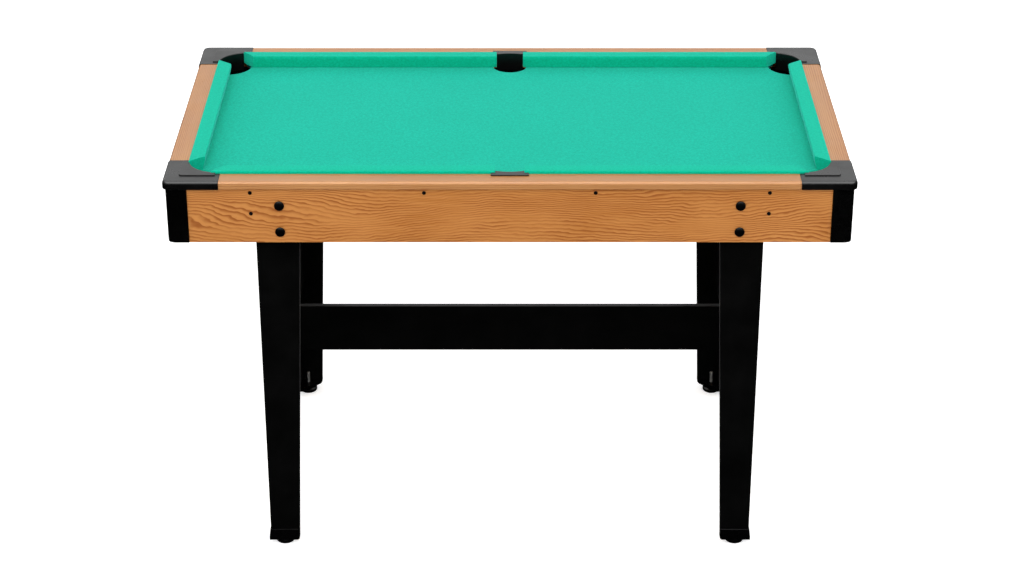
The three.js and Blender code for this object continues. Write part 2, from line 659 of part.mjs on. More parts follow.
// One of a piece in each quarter of the table
function placeQuarters(stem, geometry, material, ending = "") {
  for (const [frontBack, signY] of FRONT_BACK) {
    for (const [leftRight, signX] of LEFT_RIGHT) {
      place(`${stem}_${frontBack}_${leftRight}${ending}`, inQuarter(geometry, signX, signY), material);
    }
  }
}

placeFrontBack("rail", geometryOf(longRail()), OAK_TOP);
placeLeftRight("rail", geometryOf(endRail()), OAK_TOP);
placeFrontBack("apron", geometryOf(longApron()), OAK_FACE);
placeLeftRight("apron", geometryOf(endApron()), OAK_FACE);
placeQuarters("corner_post", geometryOf(cornerPost()), GLOSS_BLACK);
placeQuarters("corner_cap", geometryOf(cornerCap()), BLACK_PLASTIC);
placeFrontBack("side_pocket_trim", geometryOf(sidePocketTrim()), BLACK_PLASTIC);
placeQuarters("pocket_cup", pocketCup(...fromCorner(CUP_IN, CUP_IN)), BLACK_PLASTIC);
placeFrontBack("pocket_cup_side", pocketCup(0, HALF_Y - CUP_IN), BLACK_PLASTIC);
place("bed_board", geometryOf(bedSheet(BED_BOTTOM, BED_TOP)), PLAIN_BOARD);
place("bed_cloth", geometryOf(bedSheet(CLOTH_BOTTOM, CLOTH_TOP)), GREEN_CLOTH);
placeQuarters("cushion", geometryOf(longCushion()), GREEN_CLOTH);
placeLeftRight("cushion_end", geometryOf(endCushion()), GREEN_CLOTH);
placeLeftRight("bed_cleat", geometryOf(endCleat()), PLAIN_BOARD);
placeLeftRight("bed_batten", geometryOf(bedBatten()), PLAIN_BOARD);
placeQuarters("leg", geometryOf(leg()), BLACK_LAMINATE);
placeQuarters("leg_bolt", legBolt(BOLT_DROPS[0]), BLACK_STEEL, "_upper");
placeQuarters("leg_bolt", legBolt(BOLT_DROPS[1]), BLACK_STEEL, "_lower");
placeLeftRight("end_brace", geometryOf(endBrace()), BLACK_LAMINATE);
place("stretcher", geometryOf(stretcher()), BLACK_LAMINATE);
placeQuarters("foot_boot", geometryOf(footBoot()), GLOSS_BLACK);
placeQuarters("levelling_foot", levellingFoot(), GLOSS_BLACK);

export default table;
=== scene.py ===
# %% [markdown]
# # A small pool table
# The CAD model says where every piece is and how big it is. This file gives each piece its
# final shape, with rounded edges, threads and folded cloth, and the finish of the real one.
# It starts by loading the CAD model as a fixed frame, whose boxes give many of the sizes.

# %% Load the frame
import math

import bmesh
import bpy
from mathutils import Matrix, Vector


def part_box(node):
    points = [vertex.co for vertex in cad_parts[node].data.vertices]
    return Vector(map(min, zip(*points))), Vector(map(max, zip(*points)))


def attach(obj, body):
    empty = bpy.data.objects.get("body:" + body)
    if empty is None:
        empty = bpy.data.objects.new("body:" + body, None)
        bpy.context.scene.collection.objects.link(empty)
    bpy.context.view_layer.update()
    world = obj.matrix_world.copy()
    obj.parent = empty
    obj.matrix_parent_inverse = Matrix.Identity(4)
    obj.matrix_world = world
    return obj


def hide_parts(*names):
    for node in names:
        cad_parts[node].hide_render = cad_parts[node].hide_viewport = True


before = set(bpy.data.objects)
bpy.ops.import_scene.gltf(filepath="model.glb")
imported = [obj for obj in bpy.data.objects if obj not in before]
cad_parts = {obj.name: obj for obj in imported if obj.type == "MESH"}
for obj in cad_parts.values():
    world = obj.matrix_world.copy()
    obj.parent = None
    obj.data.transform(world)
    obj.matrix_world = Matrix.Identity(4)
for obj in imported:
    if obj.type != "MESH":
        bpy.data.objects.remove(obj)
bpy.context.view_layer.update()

# %% [markdown]
# ## Camera
# A long lens from in front and above shows the bed, the front board and the legs at once,
# and keeps the upright lines nearly upright. It stands a little over four metres in front of
# the table's middle.

# %% Camera
CAMERA_PLACE = (0.0, -4.206, 2.483)
CAMERA_TILT = 63.52  # degrees from looking straight down
camera_data = bpy.data.cameras.new("camera")
camera_data.lens = 85.0
camera_data.sensor_width = 36.0
camera_data.shift_x = 0.0021
camera = bpy.data.objects.new("camera", camera_data)
camera.location = CAMERA_PLACE
camera.rotation_euler = (math.radians(CAMERA_TILT), 0.0, 0.0)
bpy.context.scene.collection.objects.link(camera)
bpy.context.scene.camera = camera
print("camera at", CAMERA_PLACE, "lens", camera_data.lens)

# %% [markdown]
# ## Sizes
# Everything is in metres. The table is the same in all four quarters, so most pieces are
# given as distances "in" from the outer edge of the wooden rails, and then mirrored.
# Whatever a node's box can say is read from the frame. The other sizes are typed where they
# are first used, as so many millimetres.

# %% Sizes read from the frame
MM = 0.001
HALF_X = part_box("rail_right")[1].x
HALF_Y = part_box("rail_back")[1].y
RAIL_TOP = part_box("rail_back")[1].z
RAIL_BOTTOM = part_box("rail_back")[0].z
RAIL_WIDTH = HALF_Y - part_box("rail_back")[0].y
CLOTH_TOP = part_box("bed_cloth")[1].z
SIDES = (("front", -1), ("back", 1))
ENDS = (("left", -1), ("right", 1))
QUARTERS = [(f"{a}_{b}", sx, sy) for a, sy in SIDES for b, sx in ENDS]
print(f"half length {HALF_X:.4f}, half width {HALF_Y:.4f}, height {RAIL_TOP:.4f}")

# %% [markdown]
# ## Making a mesh
# Nearly every piece here is a row of rings, each with the same number of points, joined by
# four-sided faces: a moulding, a turned foot and a moulded cap are all made that way.
# Doubled points are merged and the normals are worked out again, so a mirrored ring still
# gives a closed piece with its faces outwards.

# %% Mesh helpers
def new_piece(name, points, faces):
    """A clean, closed mesh object at the origin."""
    work = bmesh.new()
    corners = [work.verts.new(point) for point in points]
    for face in faces:
        ring = [corners[i] for i in dict.fromkeys(face)]
        if len(ring) > 2:
            work.faces.new(ring)
    bmesh.ops.remove_doubles(work, verts=work.verts, dist=2e-6)
    bmesh.ops.dissolve_degenerate(work, edges=work.edges, dist=1e-6)
    bmesh.ops.recalc_face_normals(work, faces=work.faces)
    mesh = bpy.data.meshes.new(name)
    work.to_mesh(mesh)
    work.free()
    mesh.shade_smooth()
    piece = bpy.data.objects.new(name, mesh)
    bpy.context.scene.collection.objects.link(piece)
    return piece


def lofted(rings, start=0):
    """The points and faces of a row of closed rings, its two ends closed."""
    count = len(rings[0])
    points = [point for ring in rings for point in ring]
    faces = []
    for row in range(len(rings) - 1):
        low = start + row * count
        for i in range(count):
            j = (i + 1) % count
            faces.append((low + i, low + j, low + count + j, low + count + i))
    last = start + (len(rings) - 1) * count
    faces += [tuple(range(start, start + count)), tuple(range(last, last + count))]
    return points, faces


def rounded_outline(corners, step=15.0):
    """Points of an outline whose corners (u, v, radius) are rounded."""
    points = []
    for i, (u, v, radius) in enumerate(corners):
        corner = Vector((u, v))
        to_last = (Vector(corners[i - 1][:2]) - corner).normalized()
        to_next = (Vector(corners[(i + 1) % len(corners)][:2]) - corner).normalized()
        half = to_last.angle(to_next) / 2
        centre = corner + (to_last + to_next).normalized() * radius / math.sin(half)
        first = corner + to_last * radius / math.tan(half) - centre
        last = corner + to_next * radius / math.tan(half) - centre
        turn = math.atan2(first.x * last.y - first.y * last.x, first.dot(last))
        steps = max(1, round(abs(math.degrees(turn)) / step))
        for k in range(steps + 1):
            c, s = math.cos(turn * k / steps), math.sin(turn * k / steps)
            points.append((centre.x + first.x * c - first.y * s, centre.y + first.x * s + first.y * c))
    return points


def ease_edges(piece, width, segments=2, limit=40):
    """Rounds the edges sharper than the limit, in degrees, and keeps flat faces flat."""
    bevel = piece.modifiers.new("eased edges", "BEVEL")
    bevel.width = width
    bevel.segments = segments
    bevel.limit_method = "ANGLE"
    bevel.angle_limit = math.radians(limit)
    settle = piece.modifiers.new("flat faces stay flat", "WEIGHTED_NORMAL")
    settle.weight = 80
    return piece


def cut_like(node, name):
    """A merged copy of a CAD node's mesh, its flat faces in one piece, ready for eased edges."""
    work = bmesh.new()
    work.from_mesh(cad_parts[node].data)
    bmesh.ops.remove_doubles(work, verts=work.verts, dist=1e-5)
    bmesh.ops.dissolve_limit(work, angle_limit=math.radians(0.4), verts=work.verts, edges=work.edges)
    work.verts.index_update()
    points = [tuple(vert.co) for vert in work.verts]
    faces = [tuple(vert.index for vert in face.verts) for face in work.faces]
    work.free()
    return new_piece(name, points, faces)


FINISHES = {}  # each slot's material, made in the cells on finishes


def hand_over(piece, nodes, slot, body="table"):
    """Gives the piece its finish and lets it stand for its CAD nodes."""
    if not piece.data.materials:
        piece.data.materials.append(FINISHES[slot])
    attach(piece, body)
    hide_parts(*nodes)
    return piece


def sawn_or_moulded(node, name, width, slot, segments=2):
    """A CAD node's own shape with eased edges and its finish."""
    return hand_over(ease_edges(cut_like(node, name), width, segments), [node], slot)


# %% [markdown]
# ## Building node trees
# Shader groups, materials and geometry trees are all wired the same way: a node is added
# with its settings, and each of its inputs takes either a value or another node's output.

# %% Node helpers
def add(tree, kind, inputs=None, **settings):
    """A new node; inputs maps a socket's name or number to a value or an output to link."""
    made = tree.nodes.new(kind)
    for key, value in settings.items():
        setattr(made, key, value)
    for key, value in (inputs or {}).items():
        socket = made.inputs[key]
        if isinstance(value, bpy.types.NodeSocket):
            tree.links.new(value, socket)
        else:
            socket.default_value = value
    return made


def math_of(tree, operation, first, second=0.5, third=0.5):
    return add(tree, "ShaderNodeMath", {0: first, 1: second, 2: third}, operation=operation).outputs[0]


def times(tree, first, second):
    return math_of(tree, "MULTIPLY", first, second)


def vector_times(tree, first, second):
    return add(tree, "ShaderNodeVectorMath", {0: first, 1: second}, operation="MULTIPLY").outputs[0]


def vector_from(tree, x=0.0, y=0.0, z=0.0):
    return add(tree, "ShaderNodeCombineXYZ", {0: x, 1: y, 2: z}).outputs[0]


def parts_of(tree, vector):
    return add(tree, "ShaderNodeSeparateXYZ", {0: vector}).outputs


def blend_of(tree, factor, first, second):
    """Mixes two colours; a colour is an output or three numbers."""
    first, second = (c if isinstance(c, bpy.types.NodeSocket) else (*c, 1.0) for c in (first, second))
    return add(tree, "ShaderNodeMix", {0: factor, 6: first, 7: second}, data_type="RGBA").outputs[2]


def stretched(tree, value, low, high, to_low=0.0, to_high=1.0):
    """Maps low..high smoothly onto to_low..to_high, and holds it there outside."""
    inputs = {0: value, 1: low, 2: high, 3: to_low, 4: to_high}
    return add(tree, "ShaderNodeMapRange", inputs, interpolation_type="SMOOTHSTEP").outputs[0]


def noise_of(tree, vector, scale, detail=2.0, roughness=0.5):
    inputs = {"Vector": vector, "Scale": scale, "Detail": detail, "Roughness": roughness}
    return add(tree, "ShaderNodeTexNoise", inputs).outputs[0]


def shader_group(name, **inputs):
    """A shader group that takes a vector and the named values."""
    tree = bpy.data.node_groups.new(name, "ShaderNodeTree")
    tree.interface.new_socket("Vector", in_out="INPUT", socket_type="NodeSocketVector")
    for label, value in inputs.items():
        tree.interface.new_socket(label, in_out="INPUT", socket_type="NodeSocketFloat").default_value = value
    return tree, tree.nodes.new("NodeGroupInput").outputs


def put_out(tree, **values):
    """Makes the group's named outputs and links them."""
    for label in values:
        tree.interface.new_socket(label, in_out="OUTPUT", socket_type="NodeSocketFloat")
    result = tree.nodes.new("NodeGroupOutput").inputs
    for label, value in values.items():
        tree.links.new(value, result[label])


def use_group(tree, group, **values):
    """Places a group in a material, with its own values."""
    return add(tree, "ShaderNodeGroup", values, node_tree=group).outputs


def new_material(name, numbers):
    """A material with one Principled shader, its plain numbers set on the shader itself."""
    material = bpy.data.materials.new(name)
    material.use_nodes = True
    tree = material.node_tree
    tree.nodes.clear()
    shader = add(tree, "ShaderNodeBsdfPrincipled", numbers)
    add(tree, "ShaderNodeOutputMaterial", {"Surface": shader.outputs[0]})
    place = add(tree, "ShaderNodeTexCoord").outputs["Object"]
    return material, tree, shader, place


def set_bump(tree, shader, height, strength, distance):
    bump = add(tree, "ShaderNodeBump", {"Height": height, "Strength": strength, "Distance": distance})
    tree.links.new(bump.outputs[0], shader.inputs["Normal"])


# %% [markdown]
# ## Shared effects
# Five small shader groups are used again and again. *Oak figure* draws the growth rings of a
# board cut flat from the log: even lines along the board, pushed sideways by a smooth noise
# that is stretched along the grain, so that they bow, crowd and arch as real rings do.
# *Moulded grain* is the fine leathery texture of a plastic mould. *Billiard nap* is short
# felted wool on a plain weave. *Handled edge* finds the edges that hands rub smooth. *Settled
# dust* is the uneven film that dulls a gloss. The last two are laid over a finish by weather.

# %% Oak figure
oak_figure, given = shader_group(
    "oak_figure", Along=1.5, Across=9.0, Lines=190.0, Swing=24.0, Kink=0.03, Fibre=500.0)
t = oak_figure
shape = vector_from(t, given["Along"], given["Across"], given["Across"])
grown = vector_times(t, given["Vector"], shape)
broad = noise_of(t, grown, 1.0, 1.2, 0.35)
shiver = noise_of(t, vector_times(t, grown, (9.0, 4.0, 4.0)), 1.0, 2.0, 0.6)
shiver = times(t, math_of(t, "SUBTRACT", shiver, 0.5), given["Kink"])
swung = times(t, math_of(t, "ADD", broad, shiver), given["Swing"])
axes = parts_of(t, given["Vector"])
rings = math_of(t, "MULTIPLY_ADD", math_of(t, "ADD", axes[1], axes[2]), given["Lines"], swung)
rings = math_of(t, "FRACT", rings)
late = times(t, stretched(t, rings, 0.25, 0.84), stretched(t, rings, 0.87, 1.0, 1.0, 0.0))
late = times(t, late, stretched(t, noise_of(t, grown, 2.7), 0.34, 0.6, 0.45, 1.0))
fibre = vector_times(t, given["Vector"], vector_from(t, 14.0, given["Fibre"], given["Fibre"]))
streak = noise_of(t, fibre, 1.0, 3.0, 0.6)
pore = stretched(t, noise_of(t, vector_times(t, fibre, (6.0, 3.0, 3.0)), 1.0, 1.0), 0.62, 0.72)
pore = times(t, pore, math_of(t, "MULTIPLY_ADD", late, 0.7, 0.3))
put_out(t, Ring=late, Streak=streak, Pore=pore, Height=math_of(t, "SUBTRACT", times(t, streak, 0.4), pore))
print("group", t.name, "with", len(t.nodes), "nodes")

# %% Moulded grain, billiard nap, handled edge and settled dust
moulded_grain, given = shader_group("moulded_grain", Scale=1500.0)
t = moulded_grain
cells = add(t, "ShaderNodeTexVoronoi", {"Vector": given["Vector"], "Scale": given["Scale"]},
            feature="SMOOTH_F1")
fine = noise_of(t, given["Vector"], given["Scale"], 3.0, 0.65)
put_out(t, Cloud=noise_of(t, given["Vector"], 9.0, 3.0, 0.55), Speck=stretched(t, fine, 0.52, 0.78),
        Height=math_of(t, "MULTIPLY_ADD", cells.outputs[0], 0.6, fine))

billiard_nap, given = shader_group("billiard_nap", Thread=0.0009)
t = billiard_nap
per_thread = math_of(t, "DIVIDE", math.tau, given["Thread"])
split = parts_of(t, given["Vector"])
warp, weft = (math_of(t, "SINE", times(t, math_of(t, "ADD", split[axis], split[2]), per_thread))
              for axis in (0, 1))
felt = noise_of(t, given["Vector"], 1300.0, 3.0, 0.7)
put_out(t, Mottle=noise_of(t, given["Vector"], 230.0, 4.0, 0.8), Cloud=noise_of(t, given["Vector"], 7.0),
        Height=math_of(t, "MULTIPLY_ADD", times(t, warp, weft), 0.15, felt))

handled_edge, given = shader_group("handled_edge", Radius=0.0015, Amount=1.0)
t = handled_edge
softened = add(t, "ShaderNodeBevel", {"Radius": given["Radius"]}, samples=4).outputs[0]
sharp = add(t, "ShaderNodeNewGeometry").outputs["Normal"]
turned = add(t, "ShaderNodeVectorMath", {0: softened, 1: sharp}, operation="DOT_PRODUCT").outputs["Value"]
patchy = stretched(t, noise_of(t, given["Vector"], 60.0, 3.0, 0.6), 0.35, 0.65, 0.35, 1.0)
put_out(t, Mask=times(t, times(t, stretched(t, turned, 0.98, 0.75), patchy), given["Amount"]))

settled_dust, given = shader_group("settled_dust", Amount=0.1)
t = settled_dust
film = stretched(t, noise_of(t, given["Vector"], 16.0, 4.0, 0.6), 0.3, 0.75)
put_out(t, Dulling=times(t, film, given["Amount"]))
print("groups:", sorted(g.name for g in bpy.data.node_groups))


def weather(tree, shader, place, colour, edge_colour, reach, rub, matt, dust):
    """Pales the handled edges and dulls the gloss, and links the colour and the roughness."""
    worn = use_group(tree, handled_edge, Vector=place, Radius=reach, Amount=rub)["Mask"]
    tree.links.new(blend_of(tree, worn, colour, edge_colour), shader.inputs["Base Color"])
    dull = use_group(tree, settled_dust, Vector=place, Amount=dust)["Dulling"]
    tree.links.new(math_of(tree, "ADD", matt, dull), shader.inputs["Roughness"])


# %% [markdown]
# ## Wood finishes
# The rails and the cabinet are chipboard under a printed oak foil, so the figure is a colour,
# and only the pores are pressed into the surface. The rails show a slightly paler print whose
# lines run straight along them; the cabinet's boards show arches. On the two ends the grain
# runs across the table, so the same pattern is turned a quarter.

# %% Wood finishes
def oak_finish(name, pale, middle, dark, figure, ring_strength, turned_quarter, rough, shine):
    material, tree, shader, place = new_material(name, {"Roughness": rough, "Specular IOR Level": shine})
    turn = math.radians(-90) if turned_quarter else 0.0
    board = add(tree, "ShaderNodeMapping", {"Vector": place, "Rotation": (0.0, 0.0, turn)}).outputs[0]
    oak = use_group(tree, oak_figure, Vector=board, **figure)
    cloud = noise_of(tree, board, 5.0, 2.0, 0.5)
    colour = blend_of(tree, stretched(tree, cloud, 0.3, 0.7), middle, pale)
    colour = blend_of(tree, stretched(tree, oak["Streak"], 0.35, 0.7, 0.0, 0.7), colour, pale)
    colour = blend_of(tree, times(tree, oak["Ring"], ring_strength), colour, dark)
    colour = blend_of(tree, times(tree, oak["Pore"], 0.5), colour, dark)
    matt = math_of(tree, "MULTIPLY_ADD", oak["Pore"], 0.15, rough)
    weather(tree, shader, place, colour, pale, 0.0015, 0.25, matt, 0.08)
    set_bump(tree, shader, oak["Height"], 0.25, 0.0002)
    return material


RAIL_FIGURE = {"Along": 1.4, "Across": 16.0, "Lines": 260.0, "Swing": 6.0, "Kink": 0.14, "Fibre": 420.0}
BOARD_FIGURE = {"Along": 2.5, "Across": 10.0, "Lines": 190.0, "Swing": 21.0, "Kink": 0.10, "Fibre": 330.0}
RAIL_COLOURS = ((0.41, 0.185, 0.052), (0.36, 0.150, 0.036), (0.25, 0.080, 0.013))
BOARD_COLOURS = ((0.45, 0.182, 0.042), (0.37, 0.135, 0.022), (0.225, 0.057, 0.004))
OAK_RAILS = [oak_finish(f"oak rail, {way}", *RAIL_COLOURS, RAIL_FIGURE, 0.8, turned, 0.38, 0.48)
             for way, turned in (("long", False), ("end", True))]
OAK_BOARDS = [oak_finish(f"oak board, {way}", *BOARD_COLOURS, BOARD_FIGURE, 0.9, turned, 0.42, 0.2)
              for way, turned in (("long", False), ("end", True))]
print("wood finishes:", [m.name for m in OAK_RAILS + OAK_BOARDS])

# %% [markdown]
# Under the cloth the bed is plain fibreboard: pressed wool-like fibres in a dusty brown.

# %% Plain board
FINISHES["plain_board"], tree, shader, place = new_material("fibreboard", {"Roughness": 0.85})
pressed = use_group(tree, moulded_grain, Vector=place, Scale=900.0)
colour = blend_of(tree, pressed["Cloud"], (0.36, 0.24, 0.13), (0.46, 0.33, 0.20))
colour = blend_of(tree, times(tree, pressed["Speck"], 0.5), colour, (0.22, 0.14, 0.07))
tree.links.new(colour, shader.inputs["Base Color"])
set_bump(tree, shader, pressed["Height"], 0.4, 0.0002)
print("made", FINISHES["plain_board"].name)

# %% [markdown]
# ## Black finishes
# Black is never one black here. The caps are satin plastic with a fine mould texture, which
# turns grey where it faces the light; the posts and boots are smoother and darker; the legs
# are laminated board with a fine embossed grain; the fasteners are blackened steel. The studs
# of the levelling feet are made the same way but are bright zinc.

# %% Black finishes
def grey(level, blue=0.0):
    return (level, level, level + blue)


def black_finish(name, dark, light, rough, grain_scale, bump, specular, speck, rub, metallic=0.0):
    """A black that varies a little all over, is paler on handled edges and has its own texture."""
    numbers = {"Roughness": rough, "Specular IOR Level": specular, "Metallic": metallic}
    material, tree, shader, place = new_material(name, numbers)
    grain = use_group(tree, moulded_grain, Vector=place, Scale=grain_scale)
    colour = blend_of(tree, stretched(tree, grain["Cloud"], 0.3, 0.7), dark, light)
    colour = blend_of(tree, times(tree, grain["Speck"], speck), colour, grey(0.03))
    matt = math_of(tree, "MULTIPLY_ADD", grain["Speck"], 0.12, rough - 0.03)
    weather(tree, shader, place, colour, grey(0.07, 0.003), 0.0012, rub, matt, 0.12)
    set_bump(tree, shader, grain["Height"], bump, 0.00015)
    return material


# name, dark, light, rough, grain scale, bump, specular, speck, rub, metallic
BLACKS = {
    "satin_black": ("satin black plastic", grey(0.0008), grey(0.0016), 0.29, 1500.0, 0.08, 0.27, 0.02, 0.06),
    "gloss_black": ("smooth black plastic", grey(0.0002), grey(0.0005), 0.24, 2200.0, 0.02, 0.3, 0.0, 0.03),
    "cup_black": ("matt black plastic", grey(0.0003), grey(0.0006), 0.6, 1100.0, 0.15, 0.06, 0.01, 0.02),
    "black_laminate": ("black laminated board", grey(0.0003), grey(0.0007), 0.40, 700.0, 0.2, 0.14, 0.01,
                       0.03),
    "black_steel": ("blackened steel", grey(0.0004), grey(0.001), 0.30, 1800.0, 0.08, 0.13, 0.0, 0.05, 0.1)}
for slot_name, numbers in BLACKS.items():
    FINISHES[slot_name] = black_finish(*numbers)
# The band is real, but its grey is a painted highlight: the pale line of light down each leg's inner edge.
painted_highlight_band = black_finish(
    "black edge band with painted highlight", grey(0.035, 0.001), grey(0.055, 0.001), 0.45, 900.0, 0.1, 0.3, 0.02, 0.05)
zinc = black_finish(
    "zinc-plated steel", grey(0.42, -0.02), grey(0.55, -0.02), 0.30, 900.0, 0.05, 0.5, 0.0, 0.2, 1.0)
print("black finishes:", sorted(BLACKS))

# %% [markdown]
# ## Cloth
# Billiard cloth is a plain weave whose wool is raised and sheared, so no thread shows from a
# step away: it reads as an even colour with a fine mottle, and it pales at a grazing angle.
# That paling is sheen, which is set on the shader itself.

# %% Cloth finish
def cloth_finish(name, deep, lit, sheen):
    numbers = {"Roughness": 0.9, "Specular IOR Level": 0.04, "Sheen Weight": sheen,
               "Sheen Roughness": 0.45, "Sheen Tint": (0.15, 0.95, 1.0, 1.0)}
    material, tree, shader, place = new_material(name, numbers)
    nap = use_group(tree, billiard_nap, Vector=place, Thread=0.0009)
    colour = blend_of(tree, stretched(tree, nap["Mottle"], 0.28, 0.72), deep, lit)
    shade = stretched(tree, nap["Cloud"], 0.3, 0.7, 0.0, 0.12)
    colour = blend_of(tree, shade, colour, deep)
    tree.links.new(colour, shader.inputs["Base Color"])
    set_bump(tree, shader, nap["Height"], 0.35, 0.0003)
    return material


FINISHES["green_cloth"] = cloth_finish(
    "green billiard cloth", (0.0005, 0.34, 0.205), (0.003, 0.50, 0.34), 0.5)
# The cushions wear the bed's cloth made a little brighter: painted light on the cushions' upright faces.
FINISHES["cushion_cloth"] = cloth_finish(
    "cushion cloth, painted brighter", (0.0005, 0.39, 0.23), (0.002, 0.52, 0.33), 0.4)
print("cloth finishes made")

# %% [markdown]
# ## Top rails
# A rail is one length of moulding: square inside, where the cushion lies against it, and
# rounded over outside, where hands and hips meet it. Its two ends step down to a tongue that
# slides into the corner cap. The section is swept along the rail, and the tongue is the same
# ring of points, pressed into a smaller box.

# %% Top rails
RAIL_ROUND = 6 * MM
TONGUE_LENGTH = 18 * MM
TONGUE_SET_IN = 5.3 * MM
TONGUE_TOP = RAIL_TOP - 4.5 * MM


def top_rail(name, half, end, place):
    """A rail across or along the table; place turns (along, out, up) into a point."""
    inner = half - RAIL_WIDTH
    section = rounded_outline([
        (inner, RAIL_BOTTOM, 0.4 * MM), (half, RAIL_BOTTOM, 1.2 * MM),
        (half, RAIL_TOP, RAIL_ROUND), (inner, RAIL_TOP, 0.8 * MM)], 10.0)
    tongue = [(min(max(out, inner + TONGUE_SET_IN), half - TONGUE_SET_IN), min(up, TONGUE_TOP))
              for out, up in section]
    shoulder = end - TONGUE_LENGTH
    rows = [(-end, tongue), (-shoulder, tongue), (-shoulder, section), (shoulder, section),
            (shoulder, tongue), (end, tongue)]
    rings = [[place(along, out, up) for out, up in ring] for along, ring in rows]
    return ease_edges(new_piece(name, *lofted(rings)), 0.4 * MM, 1, 60)


def along_x(sign):
    return lambda along, out, up: (along, sign * out, up)


def along_y(sign):
    return lambda along, out, up: (sign * out, along, up)


for names, axis, half, place, oak in ((SIDES, 0, HALF_Y, along_x, OAK_RAILS[0]),
                                      (ENDS, 1, HALF_X, along_y, OAK_RAILS[1])):
    for side, sign in names:
        rail = top_rail(f"top_rail_{side}", half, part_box(f"rail_{side}")[1][axis], place(sign))
        rail.data.materials.append(oak)
        hand_over(rail, [f"rail_{side}"], "oak_rail")

# %% [markdown]
# ## Cabinet boards
# The four boards under the rails are sawn square, with bolt holes drilled through the long
# ones. The CAD mesh already has that shape; only its edges are too sharp to be real, so a
# merged copy gets a narrow bevel, as a foiled board's edge has.

# %% Cabinet boards
for names, oak in ((SIDES, OAK_BOARDS[0]), (ENDS, OAK_BOARDS[1])):
    for side, _ in names:
        board = ease_edges(cut_like(f"apron_{side}", f"cabinet_board_{side}"), 0.7 * MM)
        board.data.materials.append(oak)
        hand_over(board, [f"apron_{side}"], "oak_apron")
print("cabinet boards made")

# %% [markdown]
# ## Corner posts
# An L-shaped moulding covers each upright corner of the cabinet. Its outer corner is round,
# and rounder still at its foot. Rings are stacked upwards: in the first few the corner's
# radius shrinks along a quarter circle, and above that the ring stays the same.

# %% Corner posts
POST_IN = HALF_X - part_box("corner_post_front_right")[1].x
POST_ARM, POST_BACK = 41 * MM, 18 * MM
POST_ROUND, POST_FOOT_ROUND, POST_EASE = 7 * MM, 6 * MM, 0.6 * MM


def corner_point(in_x, in_y, sign_x, sign_y):
    return (sign_x * (HALF_X - in_x), sign_y * (HALF_Y - in_y))


def corner_post(name, bottom, top, sign_x, sign_y):
    foot_corner = POST_ROUND + POST_FOOT_ROUND
    levels = [(bottom, POST_IN + POST_EASE, foot_corner),
              (bottom + POST_EASE, POST_IN, foot_corner - POST_EASE / 2)]
    for angle in [math.radians(15 * k) for k in range(2, 7)]:
        levels.append((bottom + POST_FOOT_ROUND * (1 - math.cos(angle)), POST_IN,
                       POST_ROUND + POST_FOOT_ROUND * (1 - math.sin(angle))))
    levels += [(top - POST_EASE, POST_IN, POST_ROUND), (top, POST_IN + POST_EASE, POST_ROUND)]
    rings = []
    for height, out, corner in levels:
        outline = rounded_outline([
            (POST_ARM, out, 0.7 * MM), (out, out, corner), (out, POST_ARM, 0.7 * MM),
            (POST_BACK, POST_ARM, 0.4 * MM), (POST_BACK, POST_BACK, 0.4 * MM),
            (POST_ARM, POST_BACK, 0.4 * MM)], 10.0)
        rings.append([(*corner_point(u, v, sign_x, sign_y), height) for u, v in outline])
    return new_piece(name, *lofted(rings))


for quarter, sign_x, sign_y in QUARTERS:
    low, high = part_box(f"corner_post_{quarter}")
    post = corner_post(f"post_{quarter}", low.z, high.z, sign_x, sign_y)
    hand_over(ease_edges(post, 0.3 * MM, 1, 60), [f"corner_post_{quarter}"], "gloss_black")
print("corner posts, points each:", len(post.data.vertices))

# %% [markdown]
# ## Corner caps
# The cap is a thin moulded shell: a lip outside the rails, a round shoulder, a flat top, a
# raised pad round the pocket, and a collar that leads a ball down through the bed. One ring
# of points goes all the way round the wall's section. It is carried along one arm, round the
# pocket on rays from the arc's centre, and along the other arm. The pad begins where the ring
# lifts, and the collar where its inner foot drops.

# %% Corner caps
CAP_PROUD, CAP_WALL, CAP_CORNER, CAP_ROUND = 1.2 * MM, 3 * MM, 12 * MM, 6 * MM
CAP_TOP, CAP_BOTTOM = RAIL_TOP + 0.8 * MM, RAIL_TOP - 14.5 * MM
CAP_CEILING = CAP_TOP - CAP_WALL
ARC_IN, ARC_RADIUS, COLLAR_WALL = 93 * MM, 55 * MM, 2.6 * MM
COLLAR_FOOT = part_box("corner_cap_front_left")[0].z
BLOCK_END, ARM_X, ARM_Y = 81.7 * MM, 98 * MM, 95 * MM
PAD_IN, PAD_CORNER, PAD_END_X, PAD_END_Y = 26 * MM, 5 * MM, 90 * MM, 85 * MM
PAD_RISES = (0.0, 1.3 * MM, 1.8 * MM, 2.0 * MM)
PAD_EASE = (0.0, 0.0, 0.2 * MM, 0.7 * MM)
PAD_STEP = ((-1.2, 0.0), (-0.25, 0.0), (0.0, 0.25), (0.0, 1.5), (0.15, 1.85), (0.5, 2.0), (1.4, 2.0))


def ray_to_outline(angle, inset, corner):
    """Where a ray from the arc's centre meets the line that runs inset from both edges."""
    dx, dy = -math.cos(angle), -math.sin(angle)
    turn = inset + corner
    x = ARC_IN + dx * (ARC_IN - inset) / -dy
    if x >= turn:
        return x, inset
    y = ARC_IN + dy * (ARC_IN - inset) / -dx
    if y >= turn:
        return inset, y
    reach = ARC_IN - turn
    b = reach * (dx + dy)
    t = -b + math.sqrt(b * b - 2 * reach * reach + corner * corner)
    return ARC_IN + t * dx, ARC_IN + t * dy


